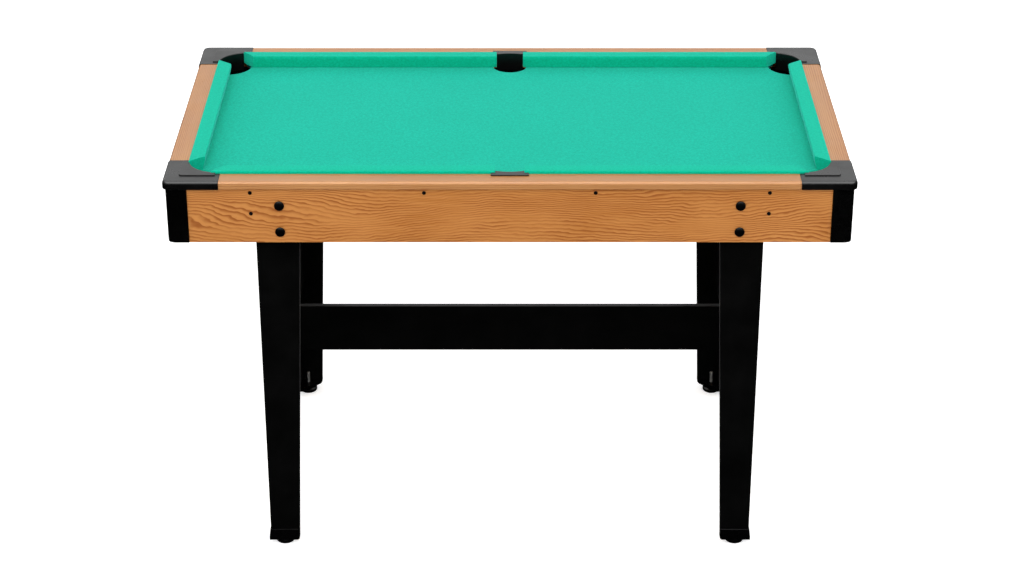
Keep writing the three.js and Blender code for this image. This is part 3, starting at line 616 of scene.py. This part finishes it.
def cap_ring(outline, inside, wall, rise, foot):
    """The wall's section, as (distance in, distance in, height) points."""
    ring = [(*outline(-CAP_PROUD + 0.5 * MM, CAP_CORNER - 0.5 * MM), CAP_BOTTOM),
            (*outline(-CAP_PROUD, CAP_CORNER), CAP_BOTTOM + 0.5 * MM)]
    for k in range(8):
        angle = math.radians(90 * k / 7)
        moved = CAP_ROUND * (1 - math.cos(angle))
        height = CAP_TOP - CAP_ROUND * (1 - math.sin(angle))
        ring.append((*outline(-CAP_PROUD + moved, CAP_CORNER - moved), height))
    for past, up in PAD_STEP:
        ring.append((*outline(PAD_IN + past * MM, PAD_CORNER - past * MM), CAP_TOP + min(up * MM, rise)))
    for back, down in ((2.2, 0.0), (1.2, 0.0), (0.35, 0.35), (0.0, 1.2), (0.0, 2.2)):
        ring.append((*inside(back * MM), CAP_TOP + rise - down * MM))
    ring += [(*inside(0.0), foot), (*inside(wall), foot), (*inside(wall), CAP_CEILING)]
    under = outline(-CAP_PROUD + CAP_WALL, CAP_CORNER - CAP_WALL)
    return ring + [(*under, CAP_CEILING), (*under, CAP_BOTTOM)]


def cap_rings():
    def on_arm(reach, rise, order=1):
        """A ring on the arm along x or, with its two distances in the order -1, along y."""
        return cap_ring(lambda inset, _: (reach, inset)[::order],
                        lambda back: (reach, RAIL_WIDTH - back)[::order], CAP_WALL, rise, CAP_BOTTOM)

    def on_arc(angle, foot):
        def inside(back):
            reach = ARC_RADIUS + back
            return ARC_IN - reach * math.cos(angle), ARC_IN - reach * math.sin(angle)
        return cap_ring(lambda inset, corner: ray_to_outline(angle, inset, corner), inside,
                        COLLAR_WALL, PAD_RISES[-1], foot)

    edge_angle = math.asin((ARC_IN - BLOCK_END) / ARC_RADIUS)
    first, last = math.pi / 2 - edge_angle, edge_angle
    pad_end = list(zip(PAD_EASE, PAD_RISES))
    rings = [on_arm(ARM_X, 0.0)] + [on_arm(PAD_END_X - ease, rise) for ease, rise in pad_end]
    rings += [on_arm(BLOCK_END, PAD_RISES[-1]), on_arc(first, CAP_BOTTOM)]
    rings += [on_arc(first + (last - first) * k / 40, COLLAR_FOOT) for k in range(41)]
    rings += [on_arc(last, CAP_BOTTOM), on_arm(BLOCK_END, PAD_RISES[-1], -1)]
    rings += [on_arm(PAD_END_Y - ease, rise, -1) for ease, rise in pad_end[::-1]]
    return rings + [on_arm(ARM_Y, 0.0, -1)]


for quarter, sign_x, sign_y in QUARTERS:
    rings = [[(*corner_point(u, v, sign_x, sign_y), z) for u, v, z in ring] for ring in cap_rings()]
    cap = ease_edges(new_piece(f"cap_{quarter}", *lofted(rings)), 0.3 * MM, 1, 60)
    hand_over(cap, [f"corner_cap_{quarter}"], "satin_black")
print("corner caps, points each:", len(cap.data.vertices))

# %% [markdown]
# ## Side-pocket trims
# A small plate bridges the gap between the two cushions and bends down as a shallow arc
# behind the pocket. It has the CAD's shape with moulded, rounded edges.

# %% Side-pocket trims
for side, _ in SIDES:
    sawn_or_moulded(f"side_pocket_trim_{side}", f"pocket_trim_{side}", 0.6 * MM, "satin_black", 3)
print("side-pocket trims made")

# %% [markdown]
# ## Pocket cups
# A cup is turned: a profile of radii and heights, taken round an upright axis. It goes up the
# outside, over a rounded flange and down the inside, so that it has a real wall.

# %% Pocket cups
def turned_piece(name, profile, centre, steps, cut_in=lambda radius, height, k: 0.0):
    """A closed piece of revolution from (radius, height) points; cut_in deepens single points."""
    rings = []
    for radius, height in profile:
        ring = []
        for k in range(steps):
            angle, reach = math.tau * k / steps, radius - cut_in(radius, height, k)
            ring.append((centre[0] + reach * math.cos(angle), centre[1] + reach * math.sin(angle), height))
        rings.append(ring)
    return new_piece(name, *lofted(rings))


def middle_of(low, high):
    return ((low.x + high.x) / 2, (low.y + high.y) / 2)


def arc_points(u, v, radius, start, end, steps):
    """Points of an arc about (u, v), its angles in degrees."""
    angles = [math.radians(start + (end - start) * k / steps) for k in range(steps + 1)]
    return [(u + radius * math.cos(a), v + radius * math.sin(a)) for a in angles]


CUP_RADIUS, CUP_WALL, CUP_FLANGE, CUP_BEND = 48 * MM, 2.5 * MM, 50 * MM, 10 * MM
ON_AXIS = 1e-5  # close enough to the axis for a turned end to be closed


def pocket_cup(name, node):
    low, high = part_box(node)
    inner = CUP_RADIUS - CUP_WALL
    profile = [(ON_AXIS, low.z)]
    profile += arc_points(CUP_RADIUS - CUP_BEND, low.z + CUP_BEND, CUP_BEND, -90, 0, 6)
    profile += [(CUP_RADIUS, high.z - 2.5 * MM), (CUP_FLANGE - 0.6 * MM, high.z - 2.5 * MM),
                (CUP_FLANGE, high.z - 1.9 * MM), (CUP_FLANGE, high.z - 0.6 * MM),
                (CUP_FLANGE - 0.6 * MM, high.z), (inner + 0.8 * MM, high.z), (inner, high.z - 0.8 * MM)]
    profile += arc_points(inner - CUP_BEND + CUP_WALL, low.z + CUP_BEND, CUP_BEND - CUP_WALL, 0, -90, 6)
    profile += [(ON_AXIS, low.z + CUP_WALL)]
    return ease_edges(turned_piece(name, profile, middle_of(low, high), 56), 0.3 * MM, 1, 50)


for place in [quarter for quarter, _, _ in QUARTERS] + [f"side_{side}" for side, _ in SIDES]:
    hand_over(pocket_cup(f"cup_{place}", f"pocket_cup_{place}"), [f"pocket_cup_{place}"], "cup_black")
print("pocket cups made")

# %% [markdown]
# ## Bed
# The bed is a board with six pocket holes, sawn and slightly rounded. The cloth is one sheet
# drawn tight over it: flat on top, and turned down over the board's edge at each pocket, where
# it is stapled out of sight. The sheet is made as its upper surface only, a flat face with a
# folded strip round each hole, and the Solidify modifier gives it its thickness downwards.

# %% Bed board
bed = sawn_or_moulded("bed_board", "bed_panel", 0.8 * MM, "plain_board")
print("bed board:", len(bed.data.vertices), "points")

# %% Bed cloth
HOLE_IN, HOLE_RADIUS = 51.63 * MM, 47.5 * MM
SIDE_HOLE_IN, SIDE_HOLE_RADIUS = 52.8 * MM, 33.2 * MM
CLOTH_THICK = 0.8 * MM
FLAT_RIM, FOLD, FOLD_START, TURN_DOWN = 4 * MM, 2.6 * MM, 1.5 * MM, 12.4 * MM
bed_edge_x, bed_edge_y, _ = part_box("bed_cloth")[1]


def fold_rows(radius):
    """(radius, height) of the cloth's face, from the flat bed over the edge of a hole."""
    fold = arc_points(radius + FOLD_START, CLOTH_TOP - FOLD, FOLD, 90, 180, 6)
    return [(radius + FLAT_RIM, CLOTH_TOP), *fold, (fold[-1][0], CLOTH_TOP - TURN_DOWN)]


def hole_arc(centre, radius, start, end, steps):
    """The rows of points round one hole, every row from start to end, angles in degrees."""
    return [[(*point, height) for point in arc_points(*centre, reach, start, end, steps)]
            for reach, height in fold_rows(radius)]


def bed_holes():
    """All six holes in order round the bed, anticlockwise from the right end of the front."""
    lean = math.degrees(math.asin((HOLE_IN - (HALF_Y - bed_edge_y)) / HOLE_RADIUS))
    right, back, side_y = HALF_X - HOLE_IN, HALF_Y - HOLE_IN, HALF_Y - SIDE_HOLE_IN

    def corner_hole(x, y, start):
        return hole_arc((x, y), HOLE_RADIUS, start + lean, start - 90 - lean, 40)

    return [corner_hole(right, -back, 180), corner_hole(right, back, 270),
            hole_arc((0.0, side_y), SIDE_HOLE_RADIUS, 360, 180, 32),
            corner_hole(-right, back, 360), corner_hole(-right, -back, 90),
            hole_arc((0.0, -side_y), SIDE_HOLE_RADIUS, 180, 0, 32)]


def bed_sheet():
    points, faces, outline = [], [], []
    for number, rows in enumerate(bed_holes()):
        count = len(rows[0])
        start = len(points)
        points += [point for row in rows for point in row]
        for row in range(len(rows) - 1):
            for k in range(count - 1):
                low = start + row * count + k
                faces.append((low, low + 1, low + count + 1, low + count))
        ring = list(range(start, start + count))
        if number in (2, 5):  # a side hole opens on the bed's edge, with a square corner each side
            for k, at in ((0, 0), (-1, len(ring) + 1)):
                points.append((rows[0][k][0], math.copysign(bed_edge_y, rows[0][k][1]), CLOTH_TOP))
                ring.insert(at, len(points) - 1)
        outline += ring
    faces.append(tuple(outline))
    return points, faces


sheet = new_piece("bed_cloth_stretched", *bed_sheet())
up = sum(face.normal.z * face.area for face in sheet.data.polygons)
if up < 0:
    sheet.data.flip_normals()
for face in sheet.data.polygons:
    face.use_smooth = abs(face.normal.z) < 0.9999
thick = sheet.modifiers.new("cloth thickness", "SOLIDIFY")
thick.thickness = CLOTH_THICK
thick.offset = -1.0
hand_over(sheet, ["bed_cloth"], "green_cloth")
print(f"bed cloth cut to {2 * bed_edge_x:.4f} by {2 * bed_edge_y:.4f}")

# %% [markdown]
# ## Cushions
# A cushion is a rubber bar under cloth: flat against the rail, rounded at its nose, and cut
# away below it so that a ball meets only the nose. Towards a corner pocket its end is sawn at
# a slant, and the cloth is drawn round that end. The section is swept along the bar. Every
# point of it ends at its own place, which makes the slant, and the last few rings shrink a
# little, which rounds the end as stretched cloth does.

# %% Cushions
CUSHION_BACK, CUSHION_NOSE, CUSHION_UNDERCUT = 37 * MM, 64.5 * MM, 4.5 * MM
CUSHION_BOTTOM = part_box("cushion_end_left")[0].z
CUSHION_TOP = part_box("cushion_end_left")[1].z
JAW_START, JAW_RUN, END_ROUND = 82 * MM, 22 * MM, 0.9 * MM


def cushion_section():
    """(distance in, height) points round the bar, slightly crowned on top."""
    return rounded_outline([
        (CUSHION_NOSE - CUSHION_UNDERCUT, CUSHION_BOTTOM, 1.0 * MM),
        (CUSHION_BACK, CUSHION_BOTTOM, 0.8 * MM),
        (CUSHION_BACK, CUSHION_TOP - 0.2 * MM, 3.0 * MM),
        (CUSHION_BACK + 12 * MM, CUSHION_TOP, 30 * MM),
        (CUSHION_NOSE - 0.2 * MM, CUSHION_TOP - 0.2 * MM, 1.8 * MM),
        (CUSHION_NOSE, CUSHION_TOP - 6 * MM, 8 * MM)], 12.0)


def cushion(name, start_of, end_of, place):
    """A bar from start_of(in) to end_of(in); place turns (along, in, up) into a point."""
    section = cushion_section()
    middle = (sum(p[0] for p in section) / len(section), sum(p[1] for p in section) / len(section))

    def ring(share, shrink, back_off):
        points = []
        for inward, up in section:
            away = Vector((inward - middle[0], up - middle[1]))
            nearer = away - away.normalized() * shrink
            start, end = start_of(inward) + back_off, end_of(inward) - back_off
            along = start + (end - start) * share
            points.append(place(along, middle[0] + nearer.x, middle[1] + nearer.y))
        return points

    turns = [math.radians(90 * k / 4) for k in range(5)]
    rounding = [(END_ROUND * (1 - math.sin(a)), END_ROUND * (1 - math.cos(a))) for a in turns]
    rings = [ring(0.0, shrink, back) for shrink, back in rounding]
    rings += [ring(k / 24, 0.0, END_ROUND) for k in range(1, 24)]
    rings += [ring(1.0, shrink, back) for shrink, back in rounding[::-1]]
    bar = new_piece(name, *lofted(rings))
    bar.modifiers.new("flat faces stay flat", "WEIGHTED_NORMAL").weight = 80
    return bar


def slant(half, inward):
    return half - JAW_START - JAW_RUN * (inward - CUSHION_BACK) / (CUSHION_NOSE - CUSHION_BACK)


for quarter, sign_x, sign_y in QUARTERS:
    side_end = abs(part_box(f"cushion_{quarter}")[0 if sign_x > 0 else 1].x)
    bar = cushion(f"cushion_bar_{quarter}", lambda inward: side_end, lambda inward: slant(HALF_X, inward),
                  lambda a, i, z, sx=sign_x, sy=sign_y: (sx * a, sy * (HALF_Y - i), z))
    hand_over(bar, [f"cushion_{quarter}"], "cushion_cloth")
for end_name, sign in ENDS:
    bar = cushion(f"cushion_bar_{end_name}", lambda inward: -slant(HALF_Y, inward),
                  lambda inward: slant(HALF_Y, inward), lambda a, i, z, s=sign: (s * (HALF_X - i), a, z))
    hand_over(bar, [f"cushion_end_{end_name}"], "cushion_cloth")
print("cushions:", len(QUARTERS) + len(ENDS), "bars of", len(bar.data.vertices), "points")

# %% [markdown]
# ## Legs, braces and stretcher
# Each leg is two tapered boards that meet at a right angle. The facing board runs the full
# width, and the side board butts against its back, so a fine joint line shows down the leg.
# The facing board's sawn edge is closed with a thin band, which is a little greyer: a painted highlight along
# that edge.
# The stretcher, the braces and the supports under the bed are plain sawn boards.

# %% Legs
LEG_BOARD, LEG_TOP_WIDTH, LEG_FOOT_WIDTH, LEG_JOINT = 12 * MM, 81.3 * MM, 54.1 * MM, 0.15 * MM


def leg_boards(name, node, sign_x, sign_y):
    low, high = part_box(node)
    outer_x = max(abs(low.x), abs(high.x))
    outer_y = max(abs(low.y), abs(high.y))
    bottom, top = low.z, high.z
    points, faces = [], []
    for out, depth, first, across in ((outer_x, outer_y, 0.0, True),
                                      (outer_y, outer_x, LEG_BOARD + LEG_JOINT, False)):
        rings = []
        for deep in (depth, depth - LEG_BOARD):
            outline = [(out - first, bottom), (out - first, top), (out - LEG_TOP_WIDTH, top),
                       (out - LEG_FOOT_WIDTH, bottom)]
            rings.append([(sign_x * (u if across else deep), sign_y * (deep if across else u), z)
                          for u, z in outline])
        made_points, made_faces = lofted(rings, len(points))
        points += made_points
        faces += made_faces
    leg = new_piece(name, points, faces)
    for finish in (FINISHES["black_laminate"], painted_highlight_band):
        leg.data.materials.append(finish)
    inner = outer_x - LEG_TOP_WIDTH - 1 * MM
    # The sawn inner edge takes the greyer band, which paints a highlight line down the leg.
    for face in leg.data.polygons:
        sawn = face.normal.x * sign_x < -0.9 and abs(face.center.y) > outer_y - LEG_BOARD
        face.material_index = 1 if sawn and abs(face.center.x) > inner else 0
    return ease_edges(leg, 0.7 * MM, 2)


for quarter, sign_x, sign_y in QUARTERS:
    leg = leg_boards(f"leg_boards_{quarter}", f"leg_{quarter}", sign_x, sign_y)
    hand_over(leg, [f"leg_{quarter}"], "black_laminate")
sawn_or_moulded("stretcher", "cross_board", 0.7 * MM, "black_laminate")
for end_name, _ in ENDS:
    sawn_or_moulded(f"end_brace_{end_name}", f"brace_{end_name}", 0.7 * MM, "black_laminate")
    for stem in ("bed_cleat", "bed_batten"):
        sawn_or_moulded(f"{stem}_{end_name}", f"{stem}_strip_{end_name}", 0.8 * MM, "plain_board")
print("legs, stretcher, braces and bed supports made")

# %% [markdown]
# ## Boots and levelling feet
# A plastic boot closes the leg's raw end and carries the nut for the levelling foot. The foot
# is turned like the cups, with two things that a plain turning lacks: a knurled rim to turn it
# by, where every other point of a ring sits deeper, and a screw thread, where the radius
# follows the height and the angle together. It rides on its own body, because it screws out.

# %% Boots and levelling feet
THREAD_PITCH, THREAD_DEPTH, KNURL = 1.25 * MM, 0.45 * MM, 0.35 * MM
FOOT_STEPS = 48


def levelling_foot(name, node):
    low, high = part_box(node)
    edge = (high.x - low.x) / 2
    neck, stud, neck_top = 11.5 * MM, 4 * MM, 12.1 * MM
    rows = [(ON_AXIS, 0.0), (edge - 3.5 * MM, 0.0), (edge - 2.2 * MM, 0.4 * MM),
            (edge - 1.0 * MM, 1.3 * MM), (edge - 0.6 * MM, 2.4 * MM), (edge - 1.1 * MM, 2.7 * MM),
            (edge - 0.3 * MM, 3.0 * MM), (edge, 3.4 * MM), (edge, 7.4 * MM), (edge - 0.6 * MM, 8.0 * MM),
            (neck + 0.6 * MM, neck_top - 0.4 * MM), (neck, neck_top), (stud + 0.2 * MM, neck_top)]
    turns = int((high.z - neck_top - 1.2 * MM) / THREAD_PITCH * 5)
    rows += [(stud, neck_top + THREAD_PITCH * k / 5) for k in range(turns + 1)]
    rows += [(stud - 1.0 * MM, high.z), (ON_AXIS, high.z)]

    def cut_in(radius, height, k):
        if radius == edge:
            return KNURL if k % 2 else 0.0
        wave = (height / THREAD_PITCH - k / FOOT_STEPS) % 1.0
        return THREAD_DEPTH * abs(2 * wave - 1) if radius == stud else 0.0

    foot = turned_piece(name, rows, middle_of(low, high), FOOT_STEPS, cut_in)
    for finish in (FINISHES["gloss_black"], zinc):
        foot.data.materials.append(finish)
    for face in foot.data.polygons:
        face.material_index = 1 if face.center.z > neck_top + 0.01 * MM else 0
    return ease_edges(foot, 0.15 * MM, 1, 60)


for quarter, _, _ in QUARTERS:
    sawn_or_moulded(f"foot_boot_{quarter}", f"boot_{quarter}", 0.25 * MM, "gloss_black")
    foot = levelling_foot(f"screw_foot_{quarter}", f"levelling_foot_{quarter}")
    hand_over(foot, [f"levelling_foot_{quarter}"], "gloss_black", f"foot_{quarter}")
print("boots and feet; points in a foot:", len(foot.data.vertices))

# %% [markdown]
# ## Fasteners
# Eight carriage bolts hold the legs and twelve countersunk screws hold the cabinet. Nothing
# but their places differs, so each kind is drawn once in a Geometry Nodes tree and put on
# every point of a small mesh of seats, turned to face the way the seat's own attribute says.

# %% Fastener trees
def fastener_tree(name, sizes, draw_one):
    """A tree that puts what draw_one makes on every seat, along the seat's facing."""
    tree = bpy.data.node_groups.new(name, "GeometryNodeTree")
    tree.is_modifier = True
    sockets = tree.interface
    sockets.new_socket("Seats", in_out="INPUT", socket_type="NodeSocketGeometry")
    for label in sizes:
        sockets.new_socket(label, in_out="INPUT", socket_type="NodeSocketFloat")
    sockets.new_socket("Metal", in_out="INPUT", socket_type="NodeSocketMaterial")
    sockets.new_socket("Fasteners", in_out="OUTPUT", socket_type="NodeSocketGeometry")
    given = tree.nodes.new("NodeGroupInput").outputs
    result = tree.nodes.new("NodeGroupOutput").inputs
    one = draw_one(tree, given)
    facing = add(tree, "GeometryNodeInputNamedAttribute", {"Name": "facing"}, data_type="FLOAT_VECTOR")
    turn = add(tree, "FunctionNodeAlignRotationToVector", {"Vector": facing.outputs[0]}, axis="Z")
    spread = add(tree, "GeometryNodeInstanceOnPoints",
                 {"Points": given["Seats"], "Instance": one, "Rotation": turn.outputs[0]})
    smooth = add(tree, "GeometryNodeSetShadeSmooth", {0: spread.outputs[0], "Shade Smooth": True})
    real = add(tree, "GeometryNodeRealizeInstances", {"Geometry": smooth.outputs[0]})
    angle = add(tree, "GeometryNodeInputMeshEdgeAngle").outputs[0]
    sharp = add(tree, "FunctionNodeCompare", {0: angle, 1: math.radians(35)}, operation="GREATER_THAN")
    crisp = add(tree, "GeometryNodeSetShadeSmooth",
                {0: real.outputs[0], "Selection": sharp.outputs[0], "Shade Smooth": False}, domain="EDGE")
    painted = add(tree, "GeometryNodeSetMaterial", {"Geometry": crisp.outputs[0], "Material": given["Metal"]})
    tree.links.new(painted.outputs[0], result[0])
    return tree


def moved_up(tree, geometry, height):
    place = vector_from(tree, z=height)
    return add(tree, "GeometryNodeTransform", {"Geometry": geometry, "Translation": place}).outputs[0]


def cylinder_of(tree, sides, radius, depth, middle):
    """A cylinder whose middle is at that height on the fastener's axis."""
    made = add(tree, "GeometryNodeMeshCylinder", {"Vertices": sides, "Radius": radius, "Depth": depth})
    return moved_up(tree, made.outputs[0], middle)


def domed_head(tree, radius, height, rim_share):
    """A ball pressed into a dome: above its equator it is squashed, below it is flat."""
    ball = add(tree, "GeometryNodeMeshUVSphere", {"Segments": 40, "Rings": 20, "Radius": radius})
    spot = parts_of(tree, add(tree, "GeometryNodeInputPosition").outputs[0])
    rim = times(tree, height, rim_share)
    dome = times(tree, math_of(tree, "DIVIDE", spot[2], radius), math_of(tree, "SUBTRACT", height, rim))
    above = math_of(tree, "GREATER_THAN", spot[2], -1e-6)
    pressed = vector_from(tree, spot[0], spot[1], times(tree, math_of(tree, "ADD", rim, dome), above))
    return add(tree, "GeometryNodeSetPosition", {"Geometry": ball.outputs[0], "Position": pressed}).outputs[0]


def shank_of(tree, given, sides):
    middle = times(tree, given["Shank Length"], -0.5)
    return cylinder_of(tree, sides, given["Shank Radius"], given["Shank Length"], middle)


def joined(tree, *parts):
    join = tree.nodes.new("GeometryNodeJoinGeometry")
    for part in parts:
        tree.links.new(part, join.inputs[0])
    return join.outputs[0]


def draw_bolt(tree, given):
    """A domed head, its shank, and a nut near the other end."""
    head = domed_head(tree, given["Head Radius"], given["Head Height"], 0.3)
    nut_middle = math_of(tree, "MULTIPLY_ADD", given["Nut Height"], -0.5, times(tree, given["Grip"], -1.0))
    nut = cylinder_of(tree, 6, given["Nut Radius"], given["Nut Height"], nut_middle)
    return joined(tree, head, shank_of(tree, given, 20), nut)


def draw_screw(tree, given):
    """A low domed head with a cross recess cut in it, on a short shank."""
    head = domed_head(tree, given["Head Radius"], given["Head Height"], 0.45)
    cut = add(tree, "GeometryNodeMeshBoolean", {"Mesh 1": head}, operation="DIFFERENCE")
    reach, width = times(tree, given["Head Radius"], 1.15), given["Recess Width"]
    for long_way, short_way in ((reach, width), (width, reach)):
        size = vector_from(tree, long_way, short_way, given["Head Height"])
        bar = add(tree, "GeometryNodeMeshCube", {"Size": size}).outputs[0]
        raised = moved_up(tree, bar, times(tree, given["Head Height"], 0.95))
        tree.links.new(raised, cut.inputs["Mesh 2"])
    return joined(tree, cut.outputs[0], shank_of(tree, given, 12))


# %% Bolts and screws in their places
def set_fasteners(name, tree_name, draw_one, seats, sizes):
    """Runs a tree on seats of (place, facing) and keeps the result as a plain mesh."""
    tree = fastener_tree(tree_name, sizes, draw_one)
    mesh = bpy.data.meshes.new(name)
    mesh.from_pydata([place for place, _ in seats], [], [])
    facing = mesh.attributes.new("facing", "FLOAT_VECTOR", "POINT")
    for k, (_, way) in enumerate(seats):
        facing.data[k].vector = way
    piece = bpy.data.objects.new(name, mesh)
    bpy.context.scene.collection.objects.link(piece)
    modifier = piece.modifiers.new("fasteners", "NODES")
    modifier.node_group = tree
    named = {item.name: item.identifier for item in tree.interface.items_tree if item.in_out == "INPUT"}
    for label, value in sizes.items():
        modifier[named[label]] = value
    modifier[named["Metal"]] = FINISHES["black_steel"]
    graph = bpy.context.evaluated_depsgraph_get()
    solid = bpy.data.meshes.new_from_object(piece.evaluated_get(graph))
    piece.modifiers.clear()
    piece.data = solid
    return piece


BOLT_NODES = [f"leg_bolt_{quarter}_{level}" for quarter, _, _ in QUARTERS for level in ("upper", "lower")]
BOLT_HEAD = 4.5 * MM
bolt_seats = []
for node in BOLT_NODES:
    low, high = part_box(node)
    way = 1 if high.y > 0 else -1
    face = max(abs(low.y), abs(high.y)) - BOLT_HEAD
    bolt_seats.append(((middle_of(low, high)[0], way * face, (low.z + high.z) / 2), (0, way, 0)))
bolt_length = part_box(BOLT_NODES[0])[1].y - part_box(BOLT_NODES[0])[0].y - BOLT_HEAD
bolts = set_fasteners("leg_bolts", "carriage_bolts", draw_bolt, bolt_seats, {
    "Head Radius": 9 * MM, "Head Height": BOLT_HEAD, "Shank Radius": 3 * MM,
    "Shank Length": bolt_length, "Grip": 24.9 * MM, "Nut Radius": 6.4 * MM, "Nut Height": 5 * MM})
hand_over(bolts, BOLT_NODES, "black_steel")

SCREW_PLACES = ((457.3, 737.0), (457.3, 697.0), (151.0, 737.0))  # along and up, in millimetres
board_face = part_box("apron_back")[1].y
screw_seats = [((way_x * along * MM, way_y * board_face, up * MM), (0, way_y, 0))
               for way_y in (-1, 1) for way_x in (-1, 1) for along, up in SCREW_PLACES]
screws = set_fasteners("cabinet_screws", "wood_screws", draw_screw, screw_seats, {
    "Head Radius": 3.5 * MM, "Head Height": 1.1 * MM, "Recess Width": 1.0 * MM,
    "Shank Radius": 1.5 * MM, "Shank Length": 9 * MM})
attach(screws, "table")
print("bolts:", len(bolt_seats), "screws:", len(screw_seats), "faces:", len(bolts.data.polygons),
      len(screws.data.polygons))

# %% [markdown]
# ## Floor and light
# A plain pale floor runs out of sight on every side. The light is that of a product
# photographer's studio: soft lights in front, behind and at the sides, and a white card behind
# and above, which is mirrored in every surface that faces up and turns black plastic grey
# there. A brighter card overhead draws the pale line along every rounded shoulder. The floor
# doesn't show in reflections, so the black uprights stay black.

# %% Floor
floor_finish, tree, shader, place = new_material(
    "pale floor", {"Roughness": 0.9, "Specular IOR Level": 0.0, "Emission Strength": 0.55,
                   "Emission Color": (1.0, 1.0, 1.0, 1.0)})
paleness = noise_of(tree, place, 2.0, 2.0, 0.5)
tree.links.new(blend_of(tree, paleness, (0.90, 0.90, 0.90), (0.92, 0.92, 0.92)), shader.inputs["Base Color"])
under = add(tree, "ShaderNodeNewGeometry").outputs["Backfacing"]  # clear when seen from underneath
clear = add(tree, "ShaderNodeBsdfTransparent")
seen = add(tree, "ShaderNodeMixShader", {0: under, 1: shader.outputs[0], 2: clear.outputs[0]})
surface = next(node for node in tree.nodes if node.type == "OUTPUT_MATERIAL").inputs["Surface"]
tree.links.new(seen.outputs[0], surface)
FLOOR_REACH = 20.0
floor = new_piece("floor", [(x * FLOOR_REACH, y * FLOOR_REACH, 0)
                            for x, y in ((-1, -1), (1, -1), (1, 1), (-1, 1))], [(0, 1, 2, 3)])
floor.data.materials.append(floor_finish)
floor.visible_glossy = False
if floor.data.polygons[0].normal.z < 0:
    floor.data.flip_normals()
print("floor laid")


# %% Lights
def softbox(name, place, aim, width, height, power, diffuse=True, glossy=True):
    """A rectangular light at a place, facing a point."""
    data = bpy.data.lights.new(name, "AREA")
    data.shape = "RECTANGLE"
    data.size, data.size_y, data.energy = width, height, power
    light = bpy.data.objects.new(name, data)
    light.location = place
    light.rotation_euler = (Vector(aim) - Vector(place)).to_track_quat("-Z", "Y").to_euler()
    light.visible_diffuse = diffuse
    light.visible_glossy = glossy
    bpy.context.scene.collection.objects.link(light)


TABLE_MIDDLE = (0.0, 0.0, 0.6)
softbox("light in front", (0.0, -4.6, 4.9), TABLE_MIDDLE, 5.8, 3.2, 267.0, glossy=False)
softbox("light behind", (0.0, 3.6, 3.6), TABLE_MIDDLE, 6.0, 3.0, 70.0, glossy=False)
softbox("white card", (0.0, 3.2, 3.6), TABLE_MIDDLE, 9.0, 6.0, 175.0, diffuse=False)
softbox("overhead card", (0.0, -1.8, 3.76), (0.0, -1.8, 0.0), 7.0, 5.2, 800.0, diffuse=False)
for side, x in (("left", -4.0), ("right", 4.0)):
    softbox(f"light {side}", (x, -0.8, 2.6), TABLE_MIDDLE, 2.5, 2.5, 45.0, glossy=False)

# %% Sky
# The sky is pale above the horizon and black below it, so that upright faces, which mirror
# what lies below the horizon, stay dark. Seen directly it is plain white, like the paper roll
# behind a product.
world = bpy.data.worlds.new("studio")
world.use_nodes = True
sky = world.node_tree
sky_height = parts_of(sky, add(sky, "ShaderNodeTexCoord").outputs["Generated"])[2]
paleness = stretched(sky, sky_height, 0.0, 0.12)
background = sky.nodes["Background"]
sky.links.new(blend_of(sky, paleness, (0.0, 0.0, 0.0), (0.97, 0.99, 1.0)), background.inputs["Color"])
background.inputs["Strength"].default_value = 0.45
paper = add(sky, "ShaderNodeBackground", {"Color": (1.0, 1.0, 1.0, 1.0), "Strength": 1.05})
direct = add(sky, "ShaderNodeLightPath").outputs["Is Camera Ray"]
either = add(sky, "ShaderNodeMixShader", {0: direct, 1: background.outputs[0], 2: paper.outputs[0]})
sky.links.new(either.outputs[0], sky.nodes["World Output"].inputs["Surface"])
bpy.context.scene.world = world
bpy.context.scene.view_settings.view_transform = "Standard"
